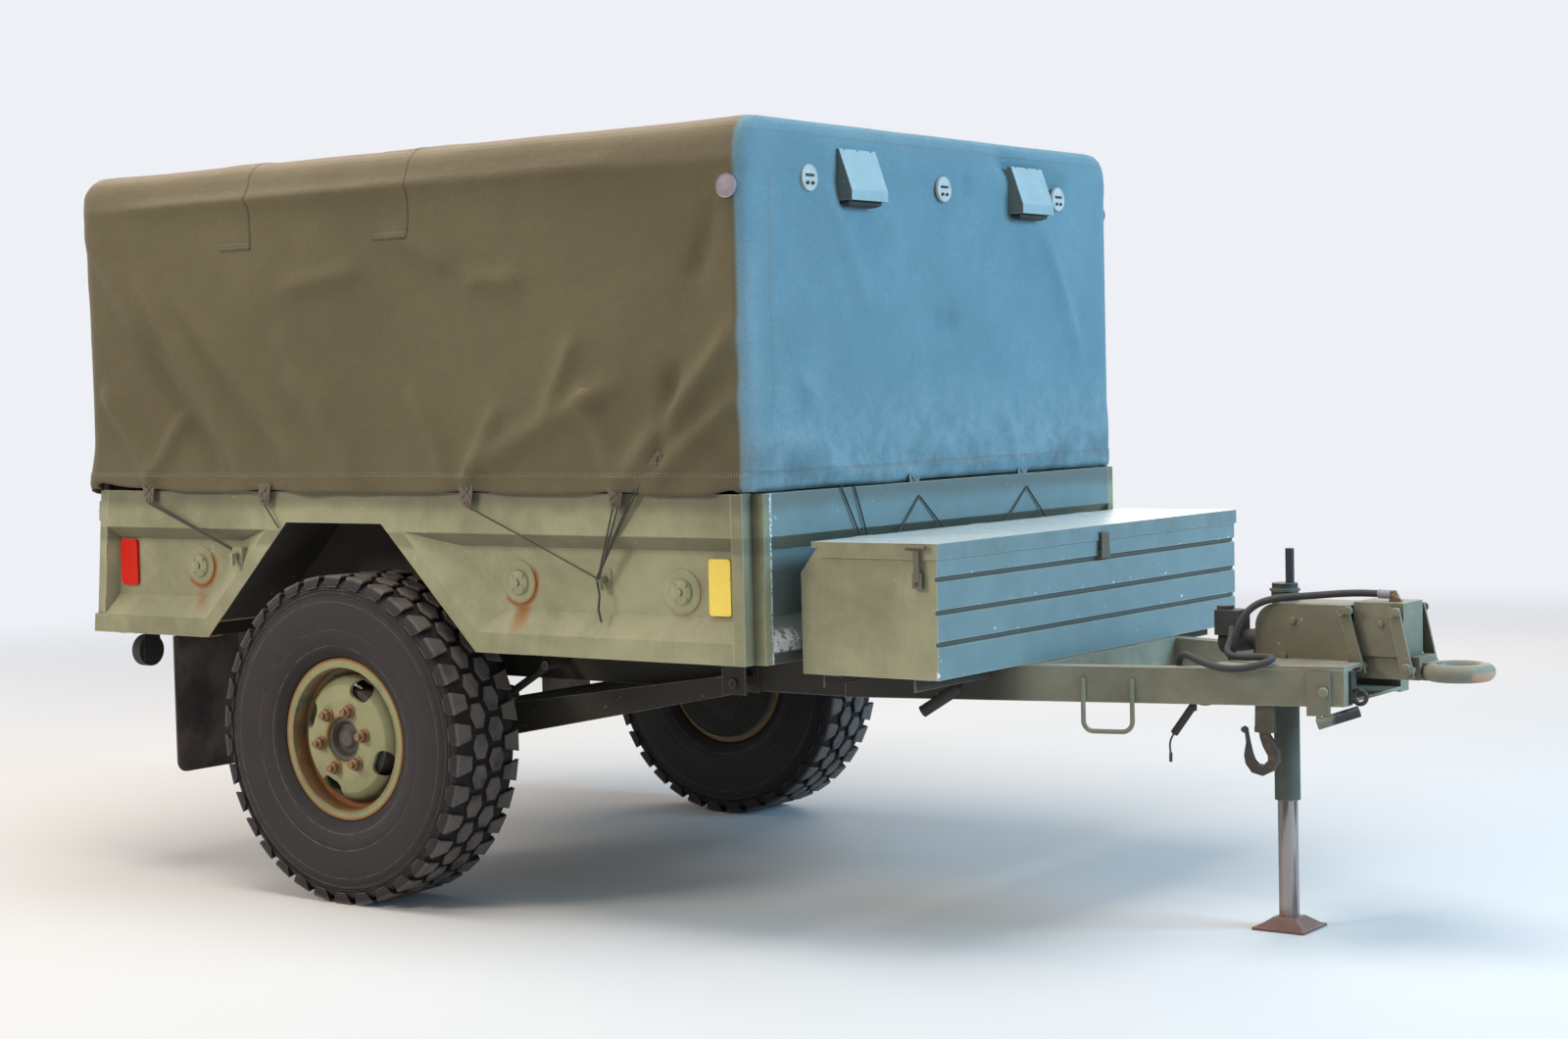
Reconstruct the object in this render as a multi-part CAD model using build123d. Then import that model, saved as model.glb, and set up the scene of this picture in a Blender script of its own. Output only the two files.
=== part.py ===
from build123d import *
import math
import os

# Covered military cargo trailer with a canvas tilt and a front toolbox.
# Millimetres, +X forward to the towing eye, +Y left, +Z up, ground at z = 0, centre line at y = 0.
# Every x below is measured from the axle. AXLE_X puts the origin under the middle of the whole length.

# Clearances
SEAT = 0.3            # between seated pieces of different bodies
RUNNING_GAP = 6.0     # between moving pieces and what they pass

# Wheels
TYRE_RADIUS = 457.5
TYRE_WIDTH = 255.0
TREAD_HALF = 104.0
TREAD_DROP = 14.0
TYRE_WALL = 15.0
TRACK = 1750.0
RIM_LIP_RADIUS = 226.0
RIM_HALF = 96.0
RIM_SEAT_RADIUS = 206.0
RIM_WELL_RADIUS = 184.0
RIM_SHEET = 6.0
DISC_FACE = 99.0          # outer face of the disc, outboard of the wheel's middle plane
DISC_SHEET = 8.0
DISC_FLAT_RADIUS = 112.0
DISC_EDGE_DEPTH = 45.0      # the disc's rim flange starts this far behind its face
HUB_BORE_RADIUS = 63.0
STUD_CIRCLE_RADIUS = 85.0
STUD_COUNT = 6
STUD_START = 10.0         # degrees from +X towards +Z, seen from the right
STUD_HOLE_RADIUS = 9.5
HAND_HOLE_COUNT = 4
HAND_HOLE_LENGTH = 76.0   # round the wheel
HAND_HOLE_WIDTH = 48.0
HAND_HOLE_CIRCLE = 148.0
HAND_HOLE_START = 66.0    # degrees, as the studs
HUB_FLANGE_RADIUS = 106.0
HUB_FLANGE = 12.0
HUB_BARREL_RADIUS = 60.0
DRUM_RADIUS = 138.0
DRUM_BACK = 8.0           # the drum stands this far behind the hub flange
DRUM_DEPTH = 70.0
SPINDLE_RADIUS = 27.0
AXLE_Z = TYRE_RADIUS

# Chassis
RAIL_INSET = 343.0        # outer face of a side rail, inside the wheel's middle plane
RAIL_OUT = TRACK / 2 - RAIL_INSET
RAIL_WIDTH = 50.0
TYRE_RISE = 315.0         # top of the tyres above the underside of the rails
RAIL_HEIGHT = 108.0
RAIL_BOTTOM = AXLE_Z + TYRE_RADIUS - TYRE_RISE
RAIL_TOP = RAIL_BOTTOM + RAIL_HEIGHT
RAIL_SHEET = 5.0
MEMBER_SHEET = 4.0
BEARER_HEIGHT = 54.0
BEARER_WIDTH = 50.0

# Axle and suspension
AXLE_TUBE_RADIUS = 42.0
AXLE_TUBE_HALF = TRACK / 2 - 135.0
BACKPLATE_RADIUS = 144.0
BACKPLATE = 5.0
ARM_WIDTH = 52.0
ARM_MIDDLE = RAIL_OUT + 34.0    # the arms run just outside the side rails
ARM_PIVOT_X = 1085.0
ARM_PIVOT_Z = RAIL_BOTTOM + 26.0
ARM_DROP = 59.5           # underside of an arm below the axle line
ARM_PIN_RADIUS = 12.0
SPRING_RADIUS = 44.0
SHOCK_RADIUS = 22.0
SHOCK_LOW_X = 150.0
SHOCK_LOW_Z = AXLE_Z + 12.5
SHOCK_HIGH_X = 455.0
SHOCK_HIGH_Z = RAIL_BOTTOM + 50.0

# Load body
BODY_HALF = 930.0
BODY_REAR_LOW = -1095.0
REAR_LEAN = 39.0          # the top of the rear edge stands this far forward of its foot
BODY_REAR_TOP = BODY_REAR_LOW + REAR_LEAN
BODY_FRONT = 1407.0
FRONT_POST = 72.0
PRESS_FRONT = BODY_FRONT - FRONT_POST
STEP = 40.0               # depth of the pressed field behind the outer faces
SHEET = 3.0
Z_BOTTOM = RAIL_TOP + 8.0
Z_FLANGE = Z_BOTTOM + 55.0
Z_FIELD_LOW = Z_FLANGE + 60.0
Z_FIELD_HIGH = Z_FIELD_LOW + 167.0
Z_RAIL_LOW = Z_FIELD_HIGH + 37.0
Z_TOP = Z_RAIL_LOW + 108.0
FIELD_END_SLOPE = 20.0    # length of the sloped rear end of the pressed field
LIP_DEPTH = 12.0          # the bottom lip turns in this far behind the field
TOP_DEPTH = 46.0          # width of the top rail
FLOOR_SHEET = 4.0
REAR_POST = 46.0          # width of a rear post along the trailer
REAR_POST_SLANT = 12.0    # its outer face slants in towards the rear by this much
POST_STEP = 36.0          # the front posts step in this far behind the front
POST_SHEET = 4.0
ARCH_CENTRE = -60.0
ARCH_TOP_HALF = 187.0
ARCH_LOW_HALF = TYRE_RADIUS + 70.5
ARCH_TOP = AXLE_Z + TYRE_RADIUS + 141.0
ARCH_BORDER = 43.0
ARCH_SLOPE_FRONT = 100.0   # width of the sloped edge ahead of and behind the border
ARCH_SLOPE_REAR = 70.0
HOUSING_GAP = 47.5        # from a tyre's inner face to the housing's inner wall
HOUSING_INNER = TRACK / 2 - TYRE_WIDTH / 2 - HOUSING_GAP
RAIL_REAR = BODY_REAR_LOW + 65.0
RAIL_FRONT = BODY_FRONT - 7.0

# Tailgate, lamps and side fittings
GATE_DEPTH = 46.0
GATE_STEP = 26.0
GATE_HINGES = (-640.0, 0.0, 640.0)
HINGE_X = BODY_REAR_LOW + 16.0
HINGE_Z = Z_BOTTOM - 14.0
HINGE_EYE_RADIUS = 11.0
HINGE_PIN_RADIUS = 6.0
LATCH_Z = Z_TOP - 63.0
LAMP_Y = BODY_HALF - 130.0
LAMP_Z = RAIL_TOP - 58.0
LAMP_RADIUS = 48.0
# places of the side fittings as (x, height above the bottom of the pressed field)
SIDE_DISCS = ((ARCH_CENTRE - ARCH_LOW_HALF - 63.0, 91.0), (ARCH_CENTRE + ARCH_LOW_HALF + 130.0, 73.0),
              (PRESS_FRONT - 187.0, 62.0))
DISC_RING = 57.0
DISC_DOME = 35.0
LASHING_HOOKS = ((PRESS_FRONT - 441.0, 88.0), (ARCH_CENTRE - ARCH_LOW_HALF + 139.0, 126.0))
REAR_REFLECTOR_X = BODY_REAR_LOW + REAR_POST + FIELD_END_SLOPE + 66.0
FRONT_REFLECTOR_X = PRESS_FRONT - 63.0
FLAP_X = ARCH_CENTRE - ARCH_LOW_HALF - 138.0
FLAP_OUT = BODY_HALF + 10.0
FLAP_IN = HOUSING_INNER - 10.0
FLAP_BOTTOM = AXLE_Z - 147.5

# Canvas cover
CANVAS_HALF = BODY_HALF - 5.0
CANVAS_REAR = BODY_REAR_LOW - 8.0
CANVAS_FRONT = BODY_FRONT - 20.0
CANVAS_BOTTOM = Z_TOP + 7.0
CANVAS_HEIGHT = 930.0
CANVAS_TOP = CANVAS_BOTTOM + CANVAS_HEIGHT
CANVAS_SHOULDER = 95.0
CANVAS_CLOTH = 5.0
BOW_RADIUS = 13.5
BOW_PLACES = (BODY_REAR_TOP + 20.0, -420.0, 330.0, PRESS_FRONT + 28.0)
VENTS = ((-519.0, -352.0), (338.0, 508.0))
VENT_TOP = CANVAS_TOP - 65.0
VENT_BOTTOM = VENT_TOP - 133.0
VENT_REACH = 52.0

# Drawbar
BEAM_SHEET = 5.0
BEAM_BOTTOM = RAIL_BOTTOM
BEAM_HEIGHT = 90.0
BEAM_TOP = BEAM_BOTTOM + BEAM_HEIGHT
BEAM_WIDTH = 50.0
BEAM_LENGTH = 1230.0
BEAM_FRONT = RAIL_FRONT + BEAM_LENGTH
BEAM_FRONT_OUT = 198.0    # outer face of a drawbar beam at its front end
BEAM_LAP = 10.4           # outer face of a beam outside the rail's at its rear end
BEAM_SLOPE = (RAIL_OUT + BEAM_LAP - BEAM_FRONT_OUT) / BEAM_LENGTH

# Toolbox
TOOLBOX_GAP = 45.0        # behind it, to the load body
BOX_LENGTH = 401.0
BOX_HEIGHT = 316.0
BOX_REAR = BODY_FRONT + TOOLBOX_GAP
BOX_FRONT = BOX_REAR + BOX_LENGTH
BOX_HALF = 799.0
BOX_BOTTOM = BEAM_TOP
BOX_TOP = BOX_BOTTOM + BOX_HEIGHT
BOX_SHEET = 2.5
BOX_CHAMFER_LOW = BOX_TOP - 63.0
BOX_CHAMFER_RUN = 50.0
BOX_GROOVES = (BOX_TOP - 230.0, BOX_TOP - 153.0, BOX_TOP - 72.0)
LID_OVERHANG = 5.0
LID_LIP = 24.0
LID_TOP = BOX_TOP + 15.0
GROOVE = 7.0
LID_HINGES = (-560.0, 0.0, 560.0)
LID_HINGE_X = BOX_REAR + 22.0
LID_HINGE_Z = BOX_TOP + 8.0
LID_EYE_RADIUS = 7.0
LID_PIN_RADIUS = 3.5
LATCH_X = BOX_FRONT - 49.0
TOOLBOX_BRACKETS = (BOX_REAR + 68.0, BOX_FRONT - 63.0)

# Coupling head and jack
HEAD_FRONT = BEAM_FRONT - 40.0
HEAD_REAR = HEAD_FRONT - 253.0
HEAD_HALF = 74.0
HEAD_TOP = BEAM_TOP + 146.0
HEAD_SHEET = 8.0
GUSSET = 10.0
EYE_AHEAD = 338.0         # tip of the towing eye ahead of the housing's front
EYE_REACH = HEAD_FRONT + EYE_AHEAD
EYE_Z = BEAM_TOP - 14.0
EYE_HOLE_RADIUS = 44.0
EYE_BAR_RADIUS = 21.5
EYE_X = EYE_REACH - EYE_HOLE_RADIUS - 2 * EYE_BAR_RADIUS
HEAD_CORNER = 60.0
LINK_HALF = 60.0
# top and bottom pins of the two link straps, as (x, z)
STRAPS = (((HEAD_FRONT - 15.0, HEAD_TOP - 14.0), (HEAD_FRONT + 30.0, EYE_Z + 12.0)),
          ((HEAD_FRONT + 117.0, HEAD_TOP - 14.0), (HEAD_FRONT + 155.0, EYE_Z + 4.0)))
STRAP_SHEET = 8.0
STRAP_PIN_RADIUS = 10.0
LOOP_PLACES = (BEAM_FRONT - 620.0, BEAM_FRONT - 500.0)
LOOP_BAR = 6.0
LOOP_BOTTOM = BEAM_BOTTOM - 72.0
HOOK_X = BEAM_FRONT - 194.0
HOOK_INSET = 20.3         # the hook's plane, inside the beam's outer face
HOOK_PLATE = 14.0
HOOK_DROP = 66.0          # the middle of its bow below the webbing
WEBBING_DROP = 86.0

# Whole length: the origin stands midway between the towing eye's tip and the canvas at the rear
REAR_REACH = -CANVAS_REAR
AXLE_X = (REAR_REACH - EYE_REACH) / 2

# Cords: centre-line points
CABLE_RADIUS = 9.0
CABLE_ROUTE = ((2664, -20, 862), (2616, -23, 864), (2556, -32, 862), (2500, -44, 857), (2446, -60, 853),
               (2394, -78, 849), (2348, -96, 834), (2318, -110, 800), (2302, -117, 752), (2294, -121, 704),
               (2289, -126, 656), (2280, -140, 612), (2258, -168, 588), (2232, -205, 596), (2218, -238, 628),
               (2213, -247, 674), (2220, -262, 712), (2252, -290, 724), (2300, -302, 706), (2352, -296, 692),
               (2404, -281, 692), (2446, -262, 704), (2462, -236, 714), (2444, -212, 716), (2404, -204, 714),
               (2362, -200, 711), (2318, -182, 711), (2292, -146, 722), (2286, -104, 744), (2270, -69, 768))
PULL_RADIUS = 2.5
PULL_ROUTE = ((2207, -270, 521), (2198, -270, 509), (2194, -271, 491), (2196, -270, 470), (2196, -270, 448))

# Jack
JACK_X = HEAD_REAR + 48.0
JACK_TUBE_RADIUS = 32.5
JACK_TUBE_BOTTOM = BEAM_BOTTOM - 270.0
JACK_LEG_RADIUS = 25.5
JACK_LEG_TOP = JACK_TUBE_BOTTOM + 190.0
FOOT_SIDE = 142.0
FOOT_EDGE = 7.0
FOOT_RISE = 24.0


def block(x0, x1, y0, y1, z0, z1):
    """A box between two corners, x from the axle."""
    return Pos((x0 + x1) / 2, (y0 + y1) / 2, (z0 + z1) / 2) * Box(x1 - x0, y1 - y0, z1 - z0)


def rod(start, end, radius):
    """A round bar between two points."""
    line = Line(start, end)
    return extrude(Plane(origin=start, z_dir=line % 0) * Circle(radius), line.length)


def side_prism(points, y0, y1):
    """A solid whose outline lies in a side view, points (x, z)."""
    outline = make_face(Polyline(*[(x, y0, z) for x, z in points], close=True))
    return extrude(outline, y1 - y0, dir=(0, 1, 0))


def end_prism(points, x0, x1):
    """A solid whose outline lies in an end view, points (y, z)."""
    outline = make_face(Polyline(*[(x0, y, z) for y, z in points], close=True))
    return extrude(outline, x1 - x0, dir=(1, 0, 0))


def plan_prism(points, z0, z1):
    """A solid whose outline lies in plan, points (x, y)."""
    outline = make_face(Polyline(*[(x, y, z0) for x, y in points], close=True))
    return extrude(outline, z1 - z0, dir=(0, 0, 1))


def left_and_right(shape):
    """A right-hand piece and its mirror image on the left."""
    return Compound(list(shape.solids()) + list(mirror(shape, about=Plane.XZ).solids()))


def save(name, *shapes):
    """Writes one sub-part, moved from the axle to the trailer's own origin."""
    solids = [Pos(AXLE_X, 0, 0) * solid for shape in shapes for solid in shape.solids()]
    export_step(solids[0] if len(solids) == 1 else Compound(solids), f"parts/{name}.step")


# Wheels: profiles are drawn as (outboard, radius) and turned about the axle line

def turned(outline):
    """A ring from a closed profile in the (outboard, radius) plane, outboard towards -Y."""
    face = make_face(outline)
    return revolve(Plane(origin=(0, 0, 0), x_dir=(0, -1, 0), z_dir=(-1, 0, 0)) * face, Axis.Y)


def at_wheel(shape, side):
    """Puts a wheel piece on its track; side is -1 on the right and 1 on the left."""
    if side > 0:
        shape = mirror(shape, about=Plane.XZ)
    return Pos(0, side * TRACK / 2, AXLE_Z) * shape


def tyre():
    bulge_radius = (TYRE_RADIUS + RIM_SEAT_RADIUS) / 2 + 12
    bead_out = RIM_HALF - RIM_SHEET - 1
    bead_low = RIM_SEAT_RADIUS + SEAT
    shoulder = TYRE_RADIUS - TREAD_DROP
    half = TYRE_WIDTH / 2

    def ring(inset):
        low = bead_low
        toe = (bead_out - inset, low)
        heel = (bead_out - inset, RIM_LIP_RADIUS + 4)
        side = (half - inset, bulge_radius)
        edge = (half - 9 - inset, shoulder - 8 - inset)
        crown = (TREAD_HALF - inset, TYRE_RADIUS - 3 - inset)
        top = (0, TYRE_RADIUS - inset)
        right = Line(toe, heel) + ThreePointArc(heel, side, edge) + Line(edge, crown)
        tread = ThreePointArc(crown, top, (-crown[0], crown[1]))
        left = mirror(right, about=Plane.YZ)
        base = Line(toe, (-toe[0], toe[1]))
        return right + tread + left + base

    return turned(ring(0)) - turned(ring(TYRE_WALL))


def rim():
    seat = RIM_SEAT_RADIUS
    well = RIM_WELL_RADIUS
    outer = [(RIM_HALF, RIM_LIP_RADIUS), (RIM_HALF - RIM_SHEET, RIM_LIP_RADIUS), (RIM_HALF - RIM_SHEET - 1, seat),
             (52, seat - 3), (40, well), (-40, well), (-52, seat - 3), (-RIM_HALF + RIM_SHEET + 1, seat),
             (-RIM_HALF + RIM_SHEET, RIM_LIP_RADIUS), (-RIM_HALF, RIM_LIP_RADIUS)]
    inner = [(-RIM_HALF - 1, seat - RIM_SHEET), (-49, seat - 3 - RIM_SHEET), (-37, well - RIM_SHEET),
             (37, well - RIM_SHEET), (49, seat - 3 - RIM_SHEET), (RIM_HALF + 1, seat - RIM_SHEET)]
    barrel = turned(Polyline(*outer, *inner, close=True))

    edge = well - RIM_SHEET
    edge_out = DISC_FACE - DISC_EDGE_DEPTH
    face = [(DISC_FACE, HUB_BORE_RADIUS), (DISC_FACE, DISC_FLAT_RADIUS), (DISC_FACE - 12, DISC_FLAT_RADIUS + 38),
            (edge_out + 12, edge - 7), (edge_out, edge), (0, edge)]
    back = [(0, edge - DISC_SHEET), (edge_out - 3, edge - DISC_SHEET), (edge_out + 5, edge - 13),
            (DISC_FACE - 21, DISC_FLAT_RADIUS + 34), (DISC_FACE - DISC_SHEET, DISC_FLAT_RADIUS - 3),
            (DISC_FACE - DISC_SHEET, HUB_BORE_RADIUS)]
    disc = turned(Polyline(*face, *back, close=True))
    wheel = barrel + disc

    cuts = []
    for n in range(STUD_COUNT):
        turn = math.radians(STUD_START + 360 / STUD_COUNT * n)
        x, z = STUD_CIRCLE_RADIUS * math.cos(turn), STUD_CIRCLE_RADIUS * math.sin(turn)
        cuts.append(rod((x, -DISC_FACE - 5, z), (x, -DISC_FACE + DISC_SHEET + 5, z), STUD_HOLE_RADIUS))
    for n in range(HAND_HOLE_COUNT):
        turn = math.radians(HAND_HOLE_START + 360 / HAND_HOLE_COUNT * n)
        centre = (HAND_HOLE_CIRCLE * math.cos(turn), -20, HAND_HOLE_CIRCLE * math.sin(turn))
        along = (-math.sin(turn), 0, math.cos(turn))
        plane = Plane(origin=centre, x_dir=along, z_dir=(0, -1, 0))
        cuts.append(extrude(plane * SlotOverall(HAND_HOLE_LENGTH, HAND_HOLE_WIDTH), DISC_FACE - 15))
    return wheel - cuts


def hub():
    seat = DISC_FACE - DISC_SHEET
    drum_face = seat - HUB_FLANGE - DRUM_BACK
    drum_open = drum_face - DRUM_DEPTH
    barrel = HUB_BARREL_RADIUS
    bore = SPINDLE_RADIUS + SEAT
    outline = [(seat, barrel - 8), (seat, HUB_FLANGE_RADIUS), (drum_face, HUB_FLANGE_RADIUS),
               (drum_face, DRUM_RADIUS), (drum_open, DRUM_RADIUS), (drum_open, DRUM_RADIUS - 12),
               (drum_face - 12, DRUM_RADIUS - 12), (drum_face - 12, barrel),
               (drum_open - 10, barrel - 4), (drum_open - 10, bore), (seat - 30, bore), (seat - 30, 0),
               (seat - 4, 0), (seat - 4, 20), (seat - 14, 30), (seat - 18, barrel - 14)]
    studs = []
    for n in range(STUD_COUNT):
        turn = math.radians(STUD_START + 360 / STUD_COUNT * n)
        x, z = STUD_CIRCLE_RADIUS * math.cos(turn), STUD_CIRCLE_RADIUS * math.sin(turn)
        studs.append(rod((x, -seat, z), (x, -DISC_FACE - 24, z), STUD_HOLE_RADIUS - 1.5))
    return turned(Polyline(*outline, close=True)) + studs


def axle_beam():
    tube = rod((0, -AXLE_TUBE_HALF, AXLE_Z), (0, AXLE_TUBE_HALF, AXLE_Z), AXLE_TUBE_RADIUS)
    spindle_out = TRACK / 2 + DISC_FACE - DISC_SHEET - 32
    spindle = rod((0, -spindle_out, AXLE_Z), (0, spindle_out, AXLE_Z), SPINDLE_RADIUS)
    backplate_y = TRACK / 2 + DISC_FACE - DISC_SHEET - HUB_FLANGE - DRUM_BACK - DRUM_DEPTH - 16
    plate_in = backplate_y - BACKPLATE
    plates = [rod((0, side * backplate_y, AXLE_Z), (0, side * plate_in, AXLE_Z), BACKPLATE_RADIUS)
              for side in (-1, 1)]
    tube_end = AXLE_TUBE_HALF - 8
    collars = [rod((0, side * tube_end, AXLE_Z), (0, side * plate_in, AXLE_Z), 50) for side in (-1, 1)]
    return tube + spindle + plates + collars


def trailing_arm():
    """The right-hand box arm, from its pivot beside the rail to its saddle round the axle."""
    outline = [(-66, AXLE_Z - ARM_DROP), (64, AXLE_Z - ARM_DROP), (ARM_PIVOT_X + 10, ARM_PIVOT_Z - 26),
               (ARM_PIVOT_X + 24, ARM_PIVOT_Z - 6),
               (ARM_PIVOT_X + 20, ARM_PIVOT_Z + 16), (ARM_PIVOT_X - 10, ARM_PIVOT_Z + 22), (96, AXLE_Z + 46),
               (64, AXLE_Z + 62), (-66, AXLE_Z + 54)]
    arm = side_prism(outline, -ARM_MIDDLE - ARM_WIDTH / 2, -ARM_MIDDLE + ARM_WIDTH / 2)
    saddle = rod((0, -ARM_MIDDLE - 60, AXLE_Z), (0, -ARM_MIDDLE + 60, AXLE_Z), AXLE_TUBE_RADIUS + SEAT)
    eye = rod((ARM_PIVOT_X, -ARM_MIDDLE - 60, ARM_PIVOT_Z), (ARM_PIVOT_X, -ARM_MIDDLE + 60, ARM_PIVOT_Z),
              ARM_PIN_RADIUS + SEAT)
    return arm - saddle - eye


def save_running_gear():
    for side, name in ((-1, "right"), (1, "left")):
        save(f"tyre_{name}", at_wheel(tyre(), side))
        save(f"rim_{name}", at_wheel(rim(), side))
        save(f"hub_{name}", at_wheel(hub(), side))
    save("trailing_arms", left_and_right(trailing_arm()))

    middle = -(RAIL_OUT - RAIL_WIDTH / 2)
    seat_z = AXLE_Z + AXLE_TUBE_RADIUS + 8
    pad_out = -(ARM_MIDDLE - ARM_WIDTH / 2 - SEAT)
    pad = block(-60, 60, pad_out, middle + 50, AXLE_Z + 20, seat_z)
    save("axle_beam", axle_beam() + [pad, mirror(pad, about=Plane.XZ)])
    height = RAIL_BOTTOM - seat_z
    spring_middle = pad_out + SPRING_RADIUS
    waist = SPRING_RADIUS - 12
    bellows = [(0, 0), (SPRING_RADIUS - 6, 0), (SPRING_RADIUS, height * 0.22), (waist, height * 0.5),
               (SPRING_RADIUS, height * 0.78), (SPRING_RADIUS - 6, height), (0, height)]
    spring = revolve(Plane.XZ * make_face(Polyline(*bellows, close=True)), Axis.Z)
    save("rubber_springs", left_and_right(Pos(0, spring_middle, seat_z) * spring))

    arm_face = -(ARM_MIDDLE + ARM_WIDTH / 2)
    shock_y = arm_face - SHOCK_RADIUS - 6
    low = (SHOCK_LOW_X, shock_y, SHOCK_LOW_Z)
    high = (SHOCK_HIGH_X, shock_y, SHOCK_HIGH_Z)
    body_end = tuple(a + (b - a) * 0.55 for a, b in zip(low, high))
    shock = rod(low, body_end, SHOCK_RADIUS) + rod(low, high, SHOCK_RADIUS / 2)
    shock += rod((low[0], shock_y - 20, low[2]), (low[0], arm_face, low[2]), 11)
    shock += rod((high[0], shock_y - 20, high[2]), (high[0], -RAIL_OUT, high[2]), 11)
    save("shock_absorbers", left_and_right(shock))


# Chassis: two side rails, cross-members between them, bearers on top, and the two drawbar beams

def beam_out(x):
    """Outer face of the right drawbar beam at x, as a distance from the centre line."""
    return BEAM_FRONT_OUT + BEAM_SLOPE * (BEAM_FRONT - x)


def save_chassis():
    inner = RAIL_OUT - RAIL_WIDTH
    web = [(-RAIL_OUT, RAIL_BOTTOM), (-inner, RAIL_BOTTOM), (-inner, RAIL_BOTTOM + RAIL_SHEET),
           (-RAIL_OUT + RAIL_SHEET, RAIL_BOTTOM + RAIL_SHEET), (-RAIL_OUT + RAIL_SHEET, RAIL_TOP - RAIL_SHEET),
           (-inner, RAIL_TOP - RAIL_SHEET), (-inner, RAIL_TOP), (-RAIL_OUT, RAIL_TOP)]
    rail = end_prism(web, RAIL_REAR, RAIL_FRONT)

    # place along the trailer, width along it
    cross_places = ((RAIL_REAR + 30, 60), (-330, 50), (330, 50), (1010, 60), (RAIL_FRONT - 50, 60))
    wall = MEMBER_SHEET
    members = [block(x - w / 2, x + w / 2, -inner, inner, RAIL_BOTTOM + 8, RAIL_TOP)
               - block(x - w / 2 + wall, x + w / 2 - wall, -inner, inner, RAIL_BOTTOM + 8 + wall, RAIL_TOP - wall)
               for x, w in cross_places]
    save("cross_members", *members)

    bearer_out = BODY_HALF - STEP - LIP_DEPTH
    housing_clear = HOUSING_INNER - 10
    half = BEARER_WIDTH / 2
    top = RAIL_TOP + BEARER_HEIGHT
    # place of each bearer along the trailer, reach to each side
    behind_arch = ARCH_CENTRE - ARCH_LOW_HALF - 112
    ahead_of_arch = ARCH_CENTRE + ARCH_LOW_HALF + 92
    bearer_places = ((RAIL_REAR + 35, bearer_out), (behind_arch, bearer_out), (-300, housing_clear),
                     (180, housing_clear), (ahead_of_arch, bearer_out), (900, bearer_out),
                     (PRESS_FRONT - 45, bearer_out))
    bearers = [block(x - half, x + half, -reach, reach, RAIL_TOP, top)
               - block(x - half + wall, x + half - wall, -reach, reach, RAIL_TOP - 1, top - wall)
               for x, reach in bearer_places]
    sill_rear = BODY_REAR_LOW + GATE_DEPTH + RUNNING_GAP
    bearers[0] += block(sill_rear, RAIL_REAR + 14, -bearer_out, bearer_out, RAIL_TOP, top)
    save("floor_bearers", *bearers)

    def beam_prism(x0, x1, inset):
        return plan_prism([(x0, -beam_out(x0) + inset), (x1, -beam_out(x1) + inset),
                           (x1, -beam_out(x1) + BEAM_WIDTH - inset), (x0, -beam_out(x0) + BEAM_WIDTH - inset)],
                          BEAM_BOTTOM + inset, BEAM_TOP - inset)

    beam = beam_prism(RAIL_FRONT, BEAM_FRONT, 0) - beam_prism(RAIL_FRONT, BEAM_FRONT - 8, BEAM_SHEET)
    save("drawbar_beam_right", beam)
    save("drawbar_beam_left", mirror(beam, about=Plane.XZ))

    # cross-members of the drawbar: place, width along the trailer
    ties = []
    for x, w in ((BOX_REAR + 48, 40), (BOX_FRONT + 17, 40)):
        y0 = beam_out(x + w / 2) - BEAM_WIDTH
        y1 = beam_out(x - w / 2) - BEAM_WIDTH
        tie = plan_prism([(x - w / 2, -y1), (x + w / 2, -y0), (x + w / 2, y0), (x - w / 2, y1)],
                         BEAM_BOTTOM + 6, BEAM_TOP)
        ties.append(tie)
    save("drawbar_ties", *ties, *head_gussets(), *toolbox_brackets())

    # the arm hangers are U brackets on the outer faces of the side rails
    arm_in, arm_out = ARM_MIDDLE - ARM_WIDTH / 2 - SEAT, ARM_MIDDLE + ARM_WIDTH / 2 + SEAT
    low = ARM_PIVOT_Z - 30
    hanger = end_prism([(-RAIL_OUT, low), (-arm_in, low), (-arm_in, RAIL_TOP - 8), (-arm_out, RAIL_TOP - 8),
                        (-arm_out, low), (-arm_out - 8, low), (-arm_out - 8, RAIL_TOP), (-RAIL_OUT, RAIL_TOP)],
                       ARM_PIVOT_X - 42, ARM_PIVOT_X + 34)
    pin = rod((ARM_PIVOT_X, -arm_out - 18, ARM_PIVOT_Z), (ARM_PIVOT_X, -arm_in + 4, ARM_PIVOT_Z), ARM_PIN_RADIUS)
    save("side_rails", left_and_right(rail + hanger + pin))


def head_gussets():
    """Plates across the front of the beams, with the jack's bore: one on top and one between them."""
    x0, x1 = HEAD_REAR - 30, BEAM_FRONT
    plate = plan_prism([(x0, -beam_out(x0)), (x1, -beam_out(x1)), (x1, beam_out(x1)), (x0, beam_out(x0))],
                       BEAM_TOP, BEAM_TOP + HEAD_SHEET)
    plate -= block(HEAD_FRONT + 2, x1 + 1, -HEAD_HALF - 22, HEAD_HALF + 22, BEAM_TOP - 1, BEAM_TOP + 20)
    low0, low1 = beam_out(x0) - BEAM_WIDTH, beam_out(x1) - BEAM_WIDTH
    lower = plan_prism([(x0, -low0), (x1, -low1), (x1, low1), (x0, low0)], BEAM_BOTTOM + 6, BEAM_BOTTOM + 14)
    bore = rod((JACK_X, 0, BEAM_BOTTOM - 50), (JACK_X, 0, BEAM_TOP + 50), JACK_TUBE_RADIUS + SEAT)
    return [plate - bore, lower - bore]


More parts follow.
